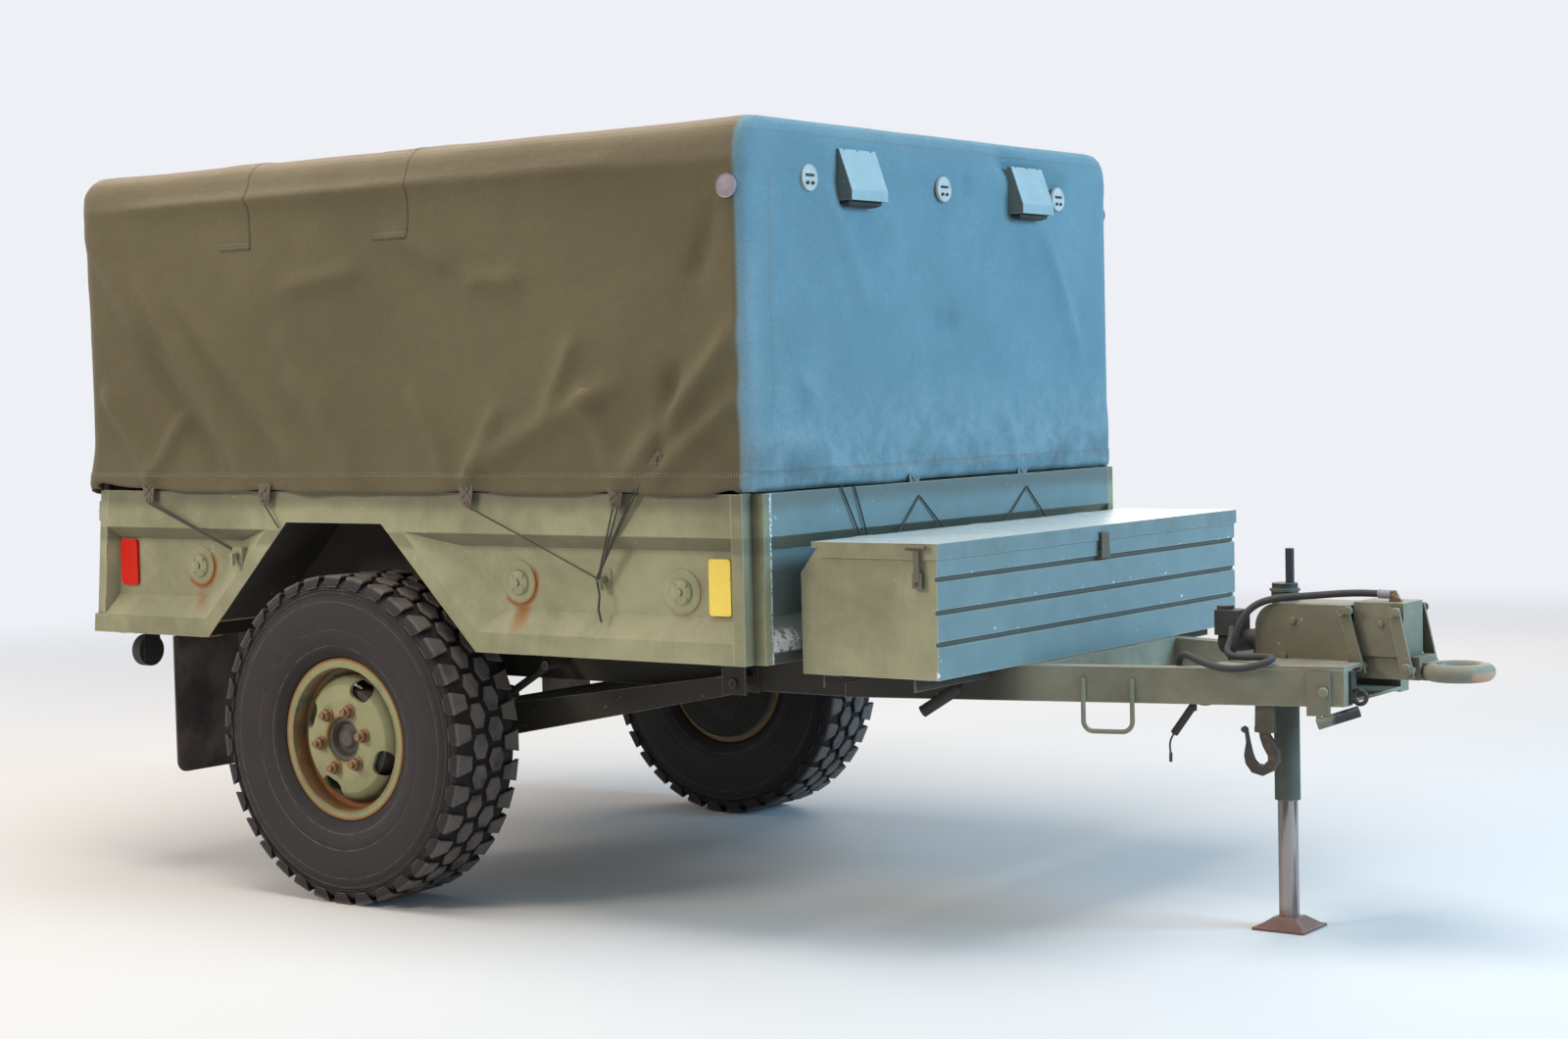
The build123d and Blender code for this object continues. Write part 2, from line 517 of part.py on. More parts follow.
def toolbox_brackets():
    """Angle brackets from the beams out under the ends of the toolbox."""
    brackets = []
    for x in TOOLBOX_BRACKETS:
        x0, x1 = x - 22, x + 22
        outer = -BOX_HALF + 20
        flange = plan_prism([(x0, outer), (x1, outer), (x1, -beam_out(x1)), (x0, -beam_out(x0))],
                            BOX_BOTTOM - 5, BOX_BOTTOM)
        web = plan_prism([(x0, outer), (x0 + 5, outer), (x0 + 5, -beam_out(x0 + 5)), (x0, -beam_out(x0))],
                         BOX_BOTTOM - 34, BOX_BOTTOM)
        bracket = flange + web
        brackets += [bracket, mirror(bracket, about=Plane.XZ)]
    return brackets


# Load body

def pressed_panel(x0, x1, field):
    """A pressed sheet with its outer face at y = 0: top rail, sunk field, flange and bottom lip.

    field(inset) is the sunk field as a solid, grown by inset on its hidden side."""
    depth = STEP + LIP_DEPTH
    outer = block(x0, x1, 0, depth, Z_BOTTOM, Z_TOP)
    hollow = block(x0 - 1, x1 + 1, SHEET, depth + 1, Z_BOTTOM + SHEET, Z_TOP - SHEET)
    top_back = block(x0 - 1, x1 + 1, TOP_DEPTH, depth + 1, Z_FLANGE, Z_TOP + 1)
    behind = field(SHEET)
    return outer - field(0) - (hollow - behind) - (top_back - behind)


def field_heights(inset):
    """Heights of the field's mouth and of its bed, low and high."""
    return (Z_FLANGE - inset, Z_RAIL_LOW + inset), (Z_FIELD_LOW - inset, Z_FIELD_HIGH + inset)


def open_field(x0, x1):
    """A field that runs straight out at both ends."""
    def field(inset):
        mouth, bed = field_heights(inset)
        deep = STEP + inset
        return end_prism([(0, mouth[0]), (deep, bed[0]), (deep, bed[1]), (0, mouth[1])], x0 - 1, x1 + 1)
    return field


def rear_edge(z):
    """The body's rear edge leans: further back at the bottom."""
    return BODY_REAR_LOW + (BODY_REAR_TOP - BODY_REAR_LOW) * (z - Z_BOTTOM) / (Z_TOP - Z_BOTTOM)


def side_field(inset):
    """The field of the right-hand side: a sloped end at the rear, straight out into the front post."""
    mouth, bed = field_heights(inset)
    front = PRESS_FRONT + 1

    def outline(y, heights, start):
        low, high = heights
        return make_face(Polyline((rear_edge(low) + start, y, low), (front, y, low), (front, y, high),
                                  (rear_edge(high) + start, y, high), close=True))

    start = REAR_POST - inset
    return loft([outline(0, mouth, start), outline(STEP + inset, bed, start + FIELD_END_SLOPE)])


def arch(grow):
    """Wheel arch outline in the side view, grown evenly from the opening."""
    slant = math.hypot(ARCH_LOW_HALF - ARCH_TOP_HALF, ARCH_TOP - Z_BOTTOM)
    rise = (ARCH_TOP - Z_BOTTOM) / slant
    run = (ARCH_LOW_HALF - ARCH_TOP_HALF) / slant
    low_half = ARCH_LOW_HALF + grow / rise
    top_half = ARCH_TOP_HALF + grow * (1 - run) / rise
    extra = 60
    wide = low_half + extra * run / rise
    return [(ARCH_CENTRE - wide, Z_BOTTOM - extra), (ARCH_CENTRE + wide, Z_BOTTOM - extra),
            (ARCH_CENTRE + top_half, ARCH_TOP + grow), (ARCH_CENTRE - top_half, ARCH_TOP + grow)]


def arch_border(inset):
    """The raised border of the right-hand arch, full to its sloped edge, set in by a thickness."""
    near = arch(ARCH_BORDER - inset)
    back, ahead = arch(ARCH_BORDER + ARCH_SLOPE_REAR - inset), arch(ARCH_BORDER + ARCH_SLOPE_FRONT - inset)
    y0, y1 = -BODY_HALF + inset, -BODY_HALF + STEP + inset
    crown = ARCH_TOP + ARCH_BORDER + ARCH_SLOPE_FRONT
    lean = (back[3][0] - back[0][0]) / (back[3][1] - back[0][1])
    far = [back[0], ahead[1], (ahead[2][0], crown), (back[3][0] + lean * (crown - back[3][1]), crown)]
    front = make_face(Polyline(*[(x, y0, z) for x, z in near], close=True))
    rear = make_face(Polyline(*[(x, y1, z) for x, z in far], close=True))
    return loft([front, rear]) & block(-900, 900, y0 - 1, y1 + 1, Z_BOTTOM, min(crown, Z_TOP) - inset)


def side_panel():
    """The right-hand side: a pressed sheet with a raised border round the wheel arch."""
    start = BODY_REAR_LOW - 10
    sheet = Pos(0, -BODY_HALF, 0) * pressed_panel(BODY_REAR_LOW, PRESS_FRONT, side_field)
    lean = side_prism([(start - 50, Z_BOTTOM - 5), (rear_edge(Z_BOTTOM - 5) + REAR_POST, Z_BOTTOM - 5),
                       (rear_edge(Z_TOP + 5) + REAR_POST, Z_TOP + 5), (start - 50, Z_TOP + 5)],
                      -BODY_HALF - 5, -BODY_HALF + STEP + 60)
    sheet = sheet - lean

    outer = arch_border(0)
    inner = arch_border(SHEET)
    clear = side_prism(arch(0), -BODY_HALF - 5, -BODY_HALF + STEP + 60)
    inner = inner - block(-900, 900, -BODY_HALF, -BODY_HALF + STEP + 60, Z_BOTTOM - 1, Z_BOTTOM + SHEET)
    behind_flange = block(-900, 900, -BODY_HALF + SHEET, -BODY_HALF + STEP + 60, Z_BOTTOM + SHEET, Z_FLANGE - 2)
    return (sheet + outer) - inner - clear - behind_flange


def wheel_housing():
    """The right-hand box over the wheel, open below and on the outside."""
    outside = side_prism(arch(SHEET), -BODY_HALF + SHEET, -HOUSING_INNER)
    hollow = side_prism(arch(0), -BODY_HALF - 5, -HOUSING_INNER - SHEET)
    below = block(-1200, 1200, -1000, 0, 0, RAIL_TOP + BEARER_HEIGHT + FLOOR_SHEET)
    return outside - hollow - below


def save_body():
    right = side_panel()
    save("side_panel_right", right)
    save("side_panel_left", mirror(right, about=Plane.XZ))

    inner_half = BODY_HALF - STEP
    front_half = inner_half - 30
    front_sheet = pressed_panel(-front_half, front_half, open_field(-front_half, front_half))
    front = Pos(BODY_FRONT, 0, 0) * Rot(0, 0, 90) * front_sheet
    save("front_panel", front)

    def post_outline(inset):
        step_x = BODY_FRONT - POST_STEP - inset
        return [(PRESS_FRONT + inset, -BODY_HALF + inset), (step_x, -BODY_HALF + inset),
                (step_x, -inner_half + inset), (BODY_FRONT - inset, -inner_half + inset),
                (BODY_FRONT - inset, -front_half - inset),
                (PRESS_FRONT + inset, -front_half - inset)]

    post = plan_prism(post_outline(0), Z_BOTTOM, Z_TOP) - plan_prism(post_outline(POST_SHEET), Z_BOTTOM, Z_TOP)
    rear_post = side_prism([(rear_edge(Z_BOTTOM), Z_BOTTOM), (rear_edge(Z_BOTTOM) + REAR_POST, Z_BOTTOM),
                            (rear_edge(Z_TOP) + REAR_POST, Z_TOP), (rear_edge(Z_TOP), Z_TOP)],
                           -BODY_HALF, -inner_half)

    def slant_edge(z):
        y = -BODY_HALF
        return make_face(Polyline((rear_edge(z) - 20, y - 1, z), (rear_edge(z) + REAR_POST, y - 1, z),
                                  (rear_edge(z) + REAR_POST, y, z), (rear_edge(z), y + REAR_POST_SLANT, z),
                                  (rear_edge(z) - 20, y + REAR_POST_SLANT, z), close=True))

    rear_post -= loft([slant_edge(Z_FLANGE), slant_edge(Z_TOP)])
    save("corner_posts", left_and_right(post), left_and_right(rear_post))

    floor_z = RAIL_TOP + BEARER_HEIGHT
    floor_half = BODY_HALF - SHEET
    floor = block(RAIL_REAR + 5, PRESS_FRONT, -floor_half, floor_half, floor_z, floor_z + FLOOR_SHEET)
    floor += block(PRESS_FRONT, BODY_FRONT - SHEET, -front_half, front_half, floor_z, floor_z + FLOOR_SHEET)
    opening = side_prism(arch(0), -BODY_HALF, -HOUSING_INNER - SHEET)
    floor -= [opening, mirror(opening, about=Plane.XZ)]
    save("floor_panel", floor)
    save("wheel_housings", left_and_right(wheel_housing()))


def rear_leaning(points):
    """Side-view points given as (depth ahead of the leaning rear edge, height)."""
    return [(rear_edge(z) + depth, z) for depth, z in points]


def save_tailgate():
    half = BODY_HALF - STEP - RUNNING_GAP
    low, high = Z_BOTTOM + 4, Z_TOP
    outer = [(0, high), (0, Z_RAIL_LOW), (GATE_STEP, Z_FIELD_HIGH), (GATE_STEP, Z_FIELD_LOW), (0, Z_FLANGE),
             (0, low)]
    inner = [(GATE_DEPTH, low), (GATE_DEPTH, low + SHEET), (SHEET, low + SHEET), (SHEET, Z_FLANGE - 2),
             (GATE_STEP + SHEET, Z_FIELD_LOW - 2), (GATE_STEP + SHEET, Z_FIELD_HIGH + 2), (SHEET, Z_RAIL_LOW + 2),
             (SHEET, high - SHEET), (GATE_DEPTH, high - SHEET), (GATE_DEPTH, high)]
    gate = side_prism(rear_leaning(outer + inner), -half, half)
    frame = rear_leaning([(SHEET, high - SHEET), (SHEET, Z_RAIL_LOW + 2), (GATE_STEP + SHEET, Z_FIELD_HIGH + 2),
                          (GATE_STEP + SHEET, Z_FIELD_LOW - 2), (SHEET, Z_FLANGE - 2), (SHEET, low + SHEET),
                          (GATE_DEPTH, low + SHEET), (GATE_DEPTH, high - SHEET)])
    ribs = [side_prism(frame, y - 2, y + 2) for y in (-half + 2, -half / 3, half / 3, half - 2)]
    gate += ribs
    for y in GATE_HINGES:
        gate += block(HINGE_X - 11, HINGE_X + 11, y - 60, y - 22, HINGE_Z, low)
        gate += block(HINGE_X - 11, HINGE_X + 11, y + 22, y + 60, HINGE_Z, low)
        for y0, y1 in ((y - 60, y - 22), (y + 22, y + 60)):
            gate += rod((HINGE_X, y0, HINGE_Z), (HINGE_X, y1, HINGE_Z), HINGE_EYE_RADIUS)
            gate -= rod((HINGE_X, y0 - 1, HINGE_Z), (HINGE_X, y1 + 1, HINGE_Z), HINGE_PIN_RADIUS + SEAT)
    save("tailgate", gate)

    sill_rear = BODY_REAR_LOW + GATE_DEPTH + RUNNING_GAP
    eyes = []
    for y in GATE_HINGES:
        eye = block(HINGE_X, sill_rear + 12, y - 20, y + 20, HINGE_Z - 6, RAIL_TOP)
        eye += rod((HINGE_X, y - 20, HINGE_Z), (HINGE_X, y + 20, HINGE_Z), HINGE_EYE_RADIUS)
        eye += rod((HINGE_X, y - 66, HINGE_Z), (HINGE_X, y + 66, HINGE_Z), HINGE_PIN_RADIUS)
        eyes.append(eye)

    # a drop bolt in a housing on each rear post, drawn back
    latch_y = BODY_HALF - STEP
    latch_low, latch_high = LATCH_Z - 30, LATCH_Z + 30
    latch = side_prism(rear_leaning([(-9, latch_low), (-9, latch_high), (0, latch_high), (0, latch_low)]),
                       -latch_y - 26, -latch_y)
    knob_x = rear_edge(LATCH_Z) - 9
    latch += rod((knob_x - 12, -latch_y - 11, LATCH_Z), (knob_x + 2, -latch_y - 11, LATCH_Z), 7)
    save("tailgate_fittings", *eyes, left_and_right(latch))

    lamp_front = RAIL_REAR + 38
    lamp = rod((lamp_front, -LAMP_Y, LAMP_Z), (lamp_front - 34, -LAMP_Y, LAMP_Z), LAMP_RADIUS)
    lamp += rod((lamp_front - 34, -LAMP_Y, LAMP_Z), (lamp_front - 40, -LAMP_Y, LAMP_Z), LAMP_RADIUS - 9)
    bracket = block(lamp_front, lamp_front + 5, -LAMP_Y - 30, -LAMP_Y + 30, LAMP_Z - 30, RAIL_TOP)
    bracket += block(RAIL_REAR + 10, RAIL_REAR + 60, -LAMP_Y - 30, -LAMP_Y + 30, RAIL_TOP - 5, RAIL_TOP)
    save("tail_lights", left_and_right(lamp + bracket))


def save_side_fittings():
    field = BODY_HALF - STEP
    discs = []
    for x, z in SIDE_DISCS:
        profile = [(0, 0), (DISC_RING, 0), (DISC_RING, 3), (DISC_RING - 8, 5), (DISC_DOME, 5),
                   (DISC_DOME - 4, 11), (DISC_DOME - 16, 15), (8, 15), (8, 20), (0, 20)]
        disc = revolve(Plane.XZ * make_face(Polyline(*profile, close=True)), Axis.Z)
        discs.append(Pos(x, -field, Z_FIELD_LOW + z) * Rot(90, 0, 0) * disc)
    hooks = []
    for x, rise in LASHING_HOOKS:
        z = Z_FIELD_LOW + rise
        hook = block(x - 20, x + 20, -BODY_HALF - 4, -field, z - 24, z + 24) - arch_border(0)
        hook -= block(x - 30, x + 30, -BODY_HALF - 9, -field - 4, z - 30, z + 30) if x > ARCH_CENTRE else []
        seat_y = hook.bounding_box().min.Y
        hook += end_prism([(seat_y, z + 8), (seat_y - 24, z + 8), (seat_y - 24, z - 26), (seat_y - 14, z - 26),
                           (seat_y - 14, z - 4), (seat_y, z - 4)], x - 6, x + 6)
        hooks.append(left_and_right(hook))
    save("side_fittings", *[left_and_right(disc) for disc in discs], *hooks)

    low = Z_FIELD_LOW + 27
    red = block(REAR_REFLECTOR_X - 37, REAR_REFLECTOR_X + 37, -field - 9, -field, low, low + 138)
    red = fillet(red.edges().filter_by(Axis.Y), 14)
    low = Z_FIELD_LOW + 5
    amber = block(FRONT_REFLECTOR_X - 34, FRONT_REFLECTOR_X + 34, -field - 9, -field, low, low + 143)
    amber = fillet(amber.edges().filter_by(Axis.Y), 8)
    save("side_reflectors", left_and_right(red), left_and_right(amber))

    flap = block(FLAP_X - 6, FLAP_X, -FLAP_OUT, -FLAP_IN, FLAP_BOTTOM, Z_BOTTOM - SEAT)
    save("mud_flaps", left_and_right(flap))


def save_canvas():
    def section(inset, low):
        half, top, corner = CANVAS_HALF - inset, CANVAS_TOP - inset, CANVAS_SHOULDER - inset
        outline = FilletPolyline((0, -half, low), (0, -half, top), (0, half, top), (0, half, low), radius=corner)
        return outline + Line((0, half, low), (0, -half, low))

    outside = extrude(make_face(section(0, CANVAS_BOTTOM)), CANVAS_FRONT - CANVAS_REAR, dir=(1, 0, 0))
    inside = extrude(make_face(section(CANVAS_CLOTH, CANVAS_BOTTOM - 5)),
                     CANVAS_FRONT - CANVAS_REAR - 2 * CANVAS_CLOTH, dir=(1, 0, 0))
    cover = Pos(CANVAS_REAR, 0, 0) * outside - Pos(CANVAS_REAR + CANVAS_CLOTH, 0, 0) * inside
    save("canvas_cover", cover)

    bow_half = CANVAS_HALF - CANVAS_CLOTH - SEAT - BOW_RADIUS
    bow_top = CANVAS_TOP - CANVAS_CLOTH - SEAT - BOW_RADIUS
    bow_corner = CANVAS_SHOULDER - CANVAS_CLOTH - BOW_RADIUS
    frame = None
    for x in BOW_PLACES:
        path = FilletPolyline((x, -bow_half, Z_TOP), (x, -bow_half, bow_top), (x, bow_half, bow_top),
                              (x, bow_half, Z_TOP), radius=bow_corner)
        bow = sweep(Plane(origin=(x, -bow_half, Z_TOP), z_dir=(0, 0, 1)) * Circle(BOW_RADIUS), path)
        frame = bow if frame is None else frame + bow
    for y in (-560, 0, 560):
        frame += rod((BOW_PLACES[0], y, bow_top), (BOW_PLACES[-1], y, bow_top), BOW_RADIUS - 2)
    save("canvas_bows", frame)

    hoods = []
    for y0, y1 in VENTS:
        x = CANVAS_FRONT + SEAT
        outline = [(x, VENT_TOP), (x + 14, VENT_TOP), (x + VENT_REACH, VENT_BOTTOM + 26),
                   (x + VENT_REACH, VENT_BOTTOM), (x, VENT_BOTTOM)]
        hollow = [(x - 1, VENT_TOP - 3), (x + 12, VENT_TOP - 3), (x + VENT_REACH - 3, VENT_BOTTOM + 25),
                  (x + VENT_REACH - 3, VENT_BOTTOM - 1), (x - 1, VENT_BOTTOM - 1)]
        hoods.append(side_prism(outline, y0, y1) - side_prism(hollow, y0 + 3, y1 - 3))
    save("canvas_vents", *hoods)


# Toolbox on the drawbar

def save_toolbox():
    front = [(BOX_FRONT, BOX_BOTTOM)]
    for z in BOX_GROOVES:
        bottom = BOX_FRONT - GROOVE
        front += [(BOX_FRONT, z - 7), (bottom, z - 3), (bottom, z + 3), (BOX_FRONT, z + 7)]
    front += [(BOX_FRONT, BOX_TOP)]
    rear = [(BOX_REAR + BOX_CHAMFER_RUN, BOX_TOP), (BOX_REAR, BOX_CHAMFER_LOW), (BOX_REAR, BOX_BOTTOM)]
    outside = side_prism(front + rear, -BOX_HALF, BOX_HALF)
    t = BOX_SHEET
    hollow = [(BOX_FRONT - GROOVE - t, BOX_BOTTOM + t), (BOX_FRONT - GROOVE - t, BOX_TOP + 1),
              (BOX_REAR + BOX_CHAMFER_RUN + t + 1, BOX_TOP + 1), (BOX_REAR + t, BOX_CHAMFER_LOW - 1),
              (BOX_REAR + t, BOX_BOTTOM + t)]
    save("toolbox_body", outside - side_prism(hollow, -BOX_HALF + t, BOX_HALF - t))

    lid_rear = BOX_REAR + BOX_CHAMFER_RUN - 14
    lid_front = BOX_FRONT + LID_OVERHANG
    lid_half = BOX_HALF + LID_OVERHANG
    lip = BOX_TOP - LID_LIP
    lid = block(lid_rear, lid_front, -lid_half, lid_half, lip, LID_TOP)
    lid -= block(lid_rear - 1, lid_front - t, -lid_half + t, lid_half - t, lip - 1, LID_TOP - t)
    lid_seat = block(lid_rear, lid_rear + 20, -lid_half, lid_half, lip - 1, BOX_TOP + SEAT)
    lid -= lid_seat
    for y0, y1 in ((y - 45, y - 1) for y in LID_HINGES):
        lid += block(LID_HINGE_X, lid_rear + 20, y0, y1, LID_TOP - t, LID_TOP)
        lid += rod((LID_HINGE_X, y0, LID_HINGE_Z), (LID_HINGE_X, y1, LID_HINGE_Z), LID_EYE_RADIUS)
        lid -= rod((LID_HINGE_X, y0 - 1, LID_HINGE_Z), (LID_HINGE_X, y1 + 1, LID_HINGE_Z), LID_PIN_RADIUS + SEAT)
    save("toolbox_lid", lid)

    hinges = []
    for y in LID_HINGES:
        hinge = rod((LID_HINGE_X, y - 50, LID_HINGE_Z), (LID_HINGE_X, y + 44, LID_HINGE_Z), LID_PIN_RADIUS)
        hinge += rod((LID_HINGE_X, y, LID_HINGE_Z), (LID_HINGE_X, y + 44, LID_HINGE_Z), LID_EYE_RADIUS)
        slope = BOX_CHAMFER_RUN / (BOX_TOP - BOX_CHAMFER_LOW)
        low = LID_HINGE_Z - 40
        leaf = side_prism([(BOX_REAR + slope * (low - BOX_CHAMFER_LOW), low),
                           (BOX_REAR + slope * (LID_HINGE_Z - BOX_CHAMFER_LOW), LID_HINGE_Z),
                           (LID_HINGE_X - 2, LID_HINGE_Z + 2),
                           (BOX_REAR + slope * (low - BOX_CHAMFER_LOW) - 4, low)], y, y + 44)
        hinges.append(hinge + leaf)
    save("toolbox_hinges", *hinges)

    strap_x = lid_front + RUNNING_GAP
    low = BOX_TOP - 70
    strap = block(BOX_FRONT, strap_x + 4, -12, 32, low, low + 20)
    strap += block(strap_x, strap_x + 4, -10, 30, low, BOX_TOP - 2)
    handle_y = -(lid_half + RUNNING_GAP)
    handle_z = BOX_TOP + 6
    latch = block(LATCH_X - 13, LATCH_X + 13, handle_y - 4, -BOX_HALF, BOX_TOP - 94, BOX_TOP - 56)
    latch += block(LATCH_X - 8, LATCH_X + 8, handle_y - 6, handle_y, BOX_TOP - 76, handle_z)
    latch += rod((LATCH_X - 26, handle_y - 7, handle_z), (LATCH_X + 26, handle_y - 7, handle_z), 7)
    save("toolbox_latches", left_and_right(latch), strap)


# Coupling head, towing eye, jack and what hangs from the drawbar

def save_head():
    bore = rod((JACK_X, 0, BEAM_TOP), (JACK_X, 0, HEAD_TOP + 50), JACK_TUBE_RADIUS + SEAT)
    floor_z = BEAM_TOP + HEAD_SHEET

    def profile(inset):
        rear, top, low = HEAD_REAR + inset, HEAD_TOP - inset, floor_z - (1 if inset else 0)
        corner = HEAD_CORNER - inset
        front = HEAD_FRONT + (1 if inset else 0)
        return (Line((rear, 0, low), (rear, 0, top - corner))
                + ThreePointArc((rear, 0, top - corner), (rear + corner * 0.293, 0, top - corner * 0.293),
                                (rear + corner, 0, top))
                + Line((rear + corner, 0, top), (front, 0, top)) + Line((front, 0, top), (front, 0, low))
                + Line((front, 0, low), (rear, 0, low)))

    shell = extrude(make_face(profile(0)), HEAD_HALF, both=True)
    shell -= extrude(make_face(profile(HEAD_SHEET)), HEAD_HALF - HEAD_SHEET, both=True)

    # each pair of link straps turns on a top pin and a bottom pin right through
    pin_half = HEAD_HALF + STRAP_SHEET + 10
    pin_bores = []
    link_pairs = []
    for top, bottom in STRAPS:
        pair = None
        for x, z in (top, bottom):
            pin = rod((x, -pin_half, z), (x, pin_half, z), STRAP_PIN_RADIUS)
            pin_bores.append(rod((x, -HEAD_HALF - 1, z), (x, HEAD_HALF + 1, z), STRAP_PIN_RADIUS + SEAT))
            pair = pin if pair is None else pair + pin
        for side in (-1, 1):
            y0 = side * (HEAD_HALF + 2)
            y1 = side * (HEAD_HALF + 2 + STRAP_SHEET)
            pair += side_prism([(top[0] - 15, top[1] + 12), (top[0] + 15, top[1] + 12),
                                (bottom[0] + 15, bottom[1] - 16), (bottom[0] - 15, bottom[1] - 16)],
                               min(y0, y1), max(y0, y1))
        link_pairs.append(pair)
    save("coupling_housing", shell - bore - pin_bores)

    shank_x = STRAPS[1][1][0] + 17
    waist, link_top = EYE_Z + 36, HEAD_TOP + 8
    link = block(HEAD_FRONT + 6, STRAPS[1][0][0] + 18, -LINK_HALF, LINK_HALF, waist, link_top)
    link += block(HEAD_FRONT + 10, shank_x, -LINK_HALF + 8, LINK_HALF - 8, EYE_Z - 20, waist)
    clip_x = HEAD_FRONT + 82
    bracket = side_prism([(clip_x, link_top), (clip_x + 32, link_top), (clip_x + 18, link_top + 28),
                          (clip_x + 10, link_top + 28)], -24, -16)
    save("drawbar_link", link + bracket - pin_bores, *link_pairs)

    ring = Pos(EYE_X, 0, EYE_Z) * Torus(EYE_HOLE_RADIUS + EYE_BAR_RADIUS, EYE_BAR_RADIUS)
    ring = ring & block(shank_x, EYE_REACH + 5, -120, 120, EYE_Z - 60, EYE_Z + 60)
    shank = block(shank_x, EYE_X - EYE_HOLE_RADIUS - 8, -34, 34, EYE_Z - EYE_BAR_RADIUS, EYE_Z + EYE_BAR_RADIUS)
    save("towing_eye", ring + shank)


def save_drawbar_fittings():
    # a round-bar hand loop under each beam, welded to its outer face
    loops = []
    x0, x1 = LOOP_PLACES
    reach0, reach1 = beam_out(x0) + LOOP_BAR + SEAT, beam_out(x1) + LOOP_BAR + SEAT
    loop_top = BEAM_BOTTOM + 60
    path = FilletPolyline((x0, -reach0, loop_top), (x0, -reach0, LOOP_BOTTOM), (x1, -reach1, LOOP_BOTTOM),
                          (x1, -reach1, loop_top), radius=26)
    loop = sweep(Plane(origin=(x0, -reach0, loop_top), z_dir=(0, 0, -1)) * Circle(LOOP_BAR), path)
    save("grab_loops", left_and_right(loop))

    # emergency hook on a doubled webbing strap under the right beam
    y = HOOK_INSET - beam_out(HOOK_X)
    low = BEAM_BOTTOM - WEBBING_DROP
    strap_line = [(HOOK_X - 25, low), (HOOK_X + 25, low), (HOOK_X + 34, BEAM_BOTTOM), (HOOK_X - 34, BEAM_BOTTOM)]
    sleeve = side_prism(strap_line, y - 8, y + 8)
    # the hook is a forged plate: a round bow set off its opening, a shank and a long arm with a tip
    bow_place = Pos(HOOK_X, y, low - HOOK_DROP) * Rot(90, 0, 0)
    outline = make_face(Curve() + [
        Line((-9, HOOK_DROP + 3), (-7, HOOK_DROP - 22)),
        Line((-7, HOOK_DROP - 22), (21, 0)),
        ThreePointArc((21, 0), (-12, -33), (-45, 0)),
        Line((-45, 0), (-54, HOOK_DROP + 14)),
        ThreePointArc((-54, HOOK_DROP + 14), (-67, HOOK_DROP + 27), (-80, HOOK_DROP + 14)),
        Line((-80, HOOK_DROP + 14), (-65, 0)),
        ThreePointArc((-65, 0), (0, -65), (65, 0)),
        Line((65, 0), (27, HOOK_DROP - 22)),
        Line((27, HOOK_DROP - 22), (10, HOOK_DROP + 3)),
        Line((10, HOOK_DROP + 3), (-9, HOOK_DROP + 3))])
    hook = extrude(outline, HOOK_PLATE / 2, both=True)
    hook -= Pos(-67, HOOK_DROP + 14, 0) * Cylinder(4, HOOK_PLATE + 2)
    save("safety_hook", sleeve + bow_place * hook)

    # shackle gear at the front end of the right beam
    x0, x1 = BEAM_FRONT - 85, BEAM_FRONT - 32
    low, high = BEAM_BOTTOM - 22, BEAM_TOP - 6
    y0, y1 = -beam_out(x0), -beam_out(x1)
    plate = plan_prism([(x0, y0), (x1, y1), (x1, y1 - 8), (x0, y0 - 8)], low, high)
    end_y = -BEAM_FRONT_OUT + BEAM_WIDTH / 2
    strap = block(BEAM_FRONT, BEAM_FRONT + 8, end_y + 1, end_y + 27, low + 28, high)
    ring = Pos(BEAM_FRONT + 23, end_y + 14, BEAM_BOTTOM + 22) * Rot(90, 0, 0) * Torus(17, 5.5)
    barrel_y = -0.2 - beam_out(x0)
    barrel_end = (BEAM_FRONT + 24, barrel_y + 56, BEAM_BOTTOM - 12)
    barrel = rod((BEAM_FRONT - 60, barrel_y, BEAM_BOTTOM - 42), barrel_end, 14)
    hanger = rod((BEAM_FRONT - 58, barrel_y + 2, BEAM_BOTTOM - 38), (BEAM_FRONT - 58, barrel_y + 2, low + 6), 6)
    save("safety_shackle", strap + ring + barrel + hanger + plate)

    # stowage socket for the plug behind the head
    floor_z = BEAM_TOP + HEAD_SHEET
    socket = rod((HEAD_REAR - 6, -26, floor_z + 43), (HEAD_REAR - 115, -26, floor_z + 28), 27)
    socket += block(HEAD_REAR - 15, HEAD_REAR, -54, 2, floor_z, floor_z + 44)
    plug = block(HEAD_REAR - 121, HEAD_REAR - 53, -60, 6, floor_z + 50, floor_z + 114)
    plug += rod((HEAD_REAR - 105, -27, floor_z + 114), (HEAD_REAR - 105, -27, floor_z + 124), 22)
    save("trailer_plug", socket + plug)

    cord("electric_cable", CABLE_ROUTE, CABLE_RADIUS)
    pull_start = PULL_ROUTE[0]
    pull_top = (pull_start[0] + 54.75, pull_start[1], BEAM_BOTTOM - 6)
    sleeve = rod(pull_top, pull_start, 10)
    stem = Pos(pull_top[0] + 0.25, pull_top[1], BEAM_BOTTOM - 10) * Box(12, 10, 20)
    save("brake_pull_sleeve", sleeve + stem)
    cord("brake_pull_cable", PULL_ROUTE, PULL_RADIUS)


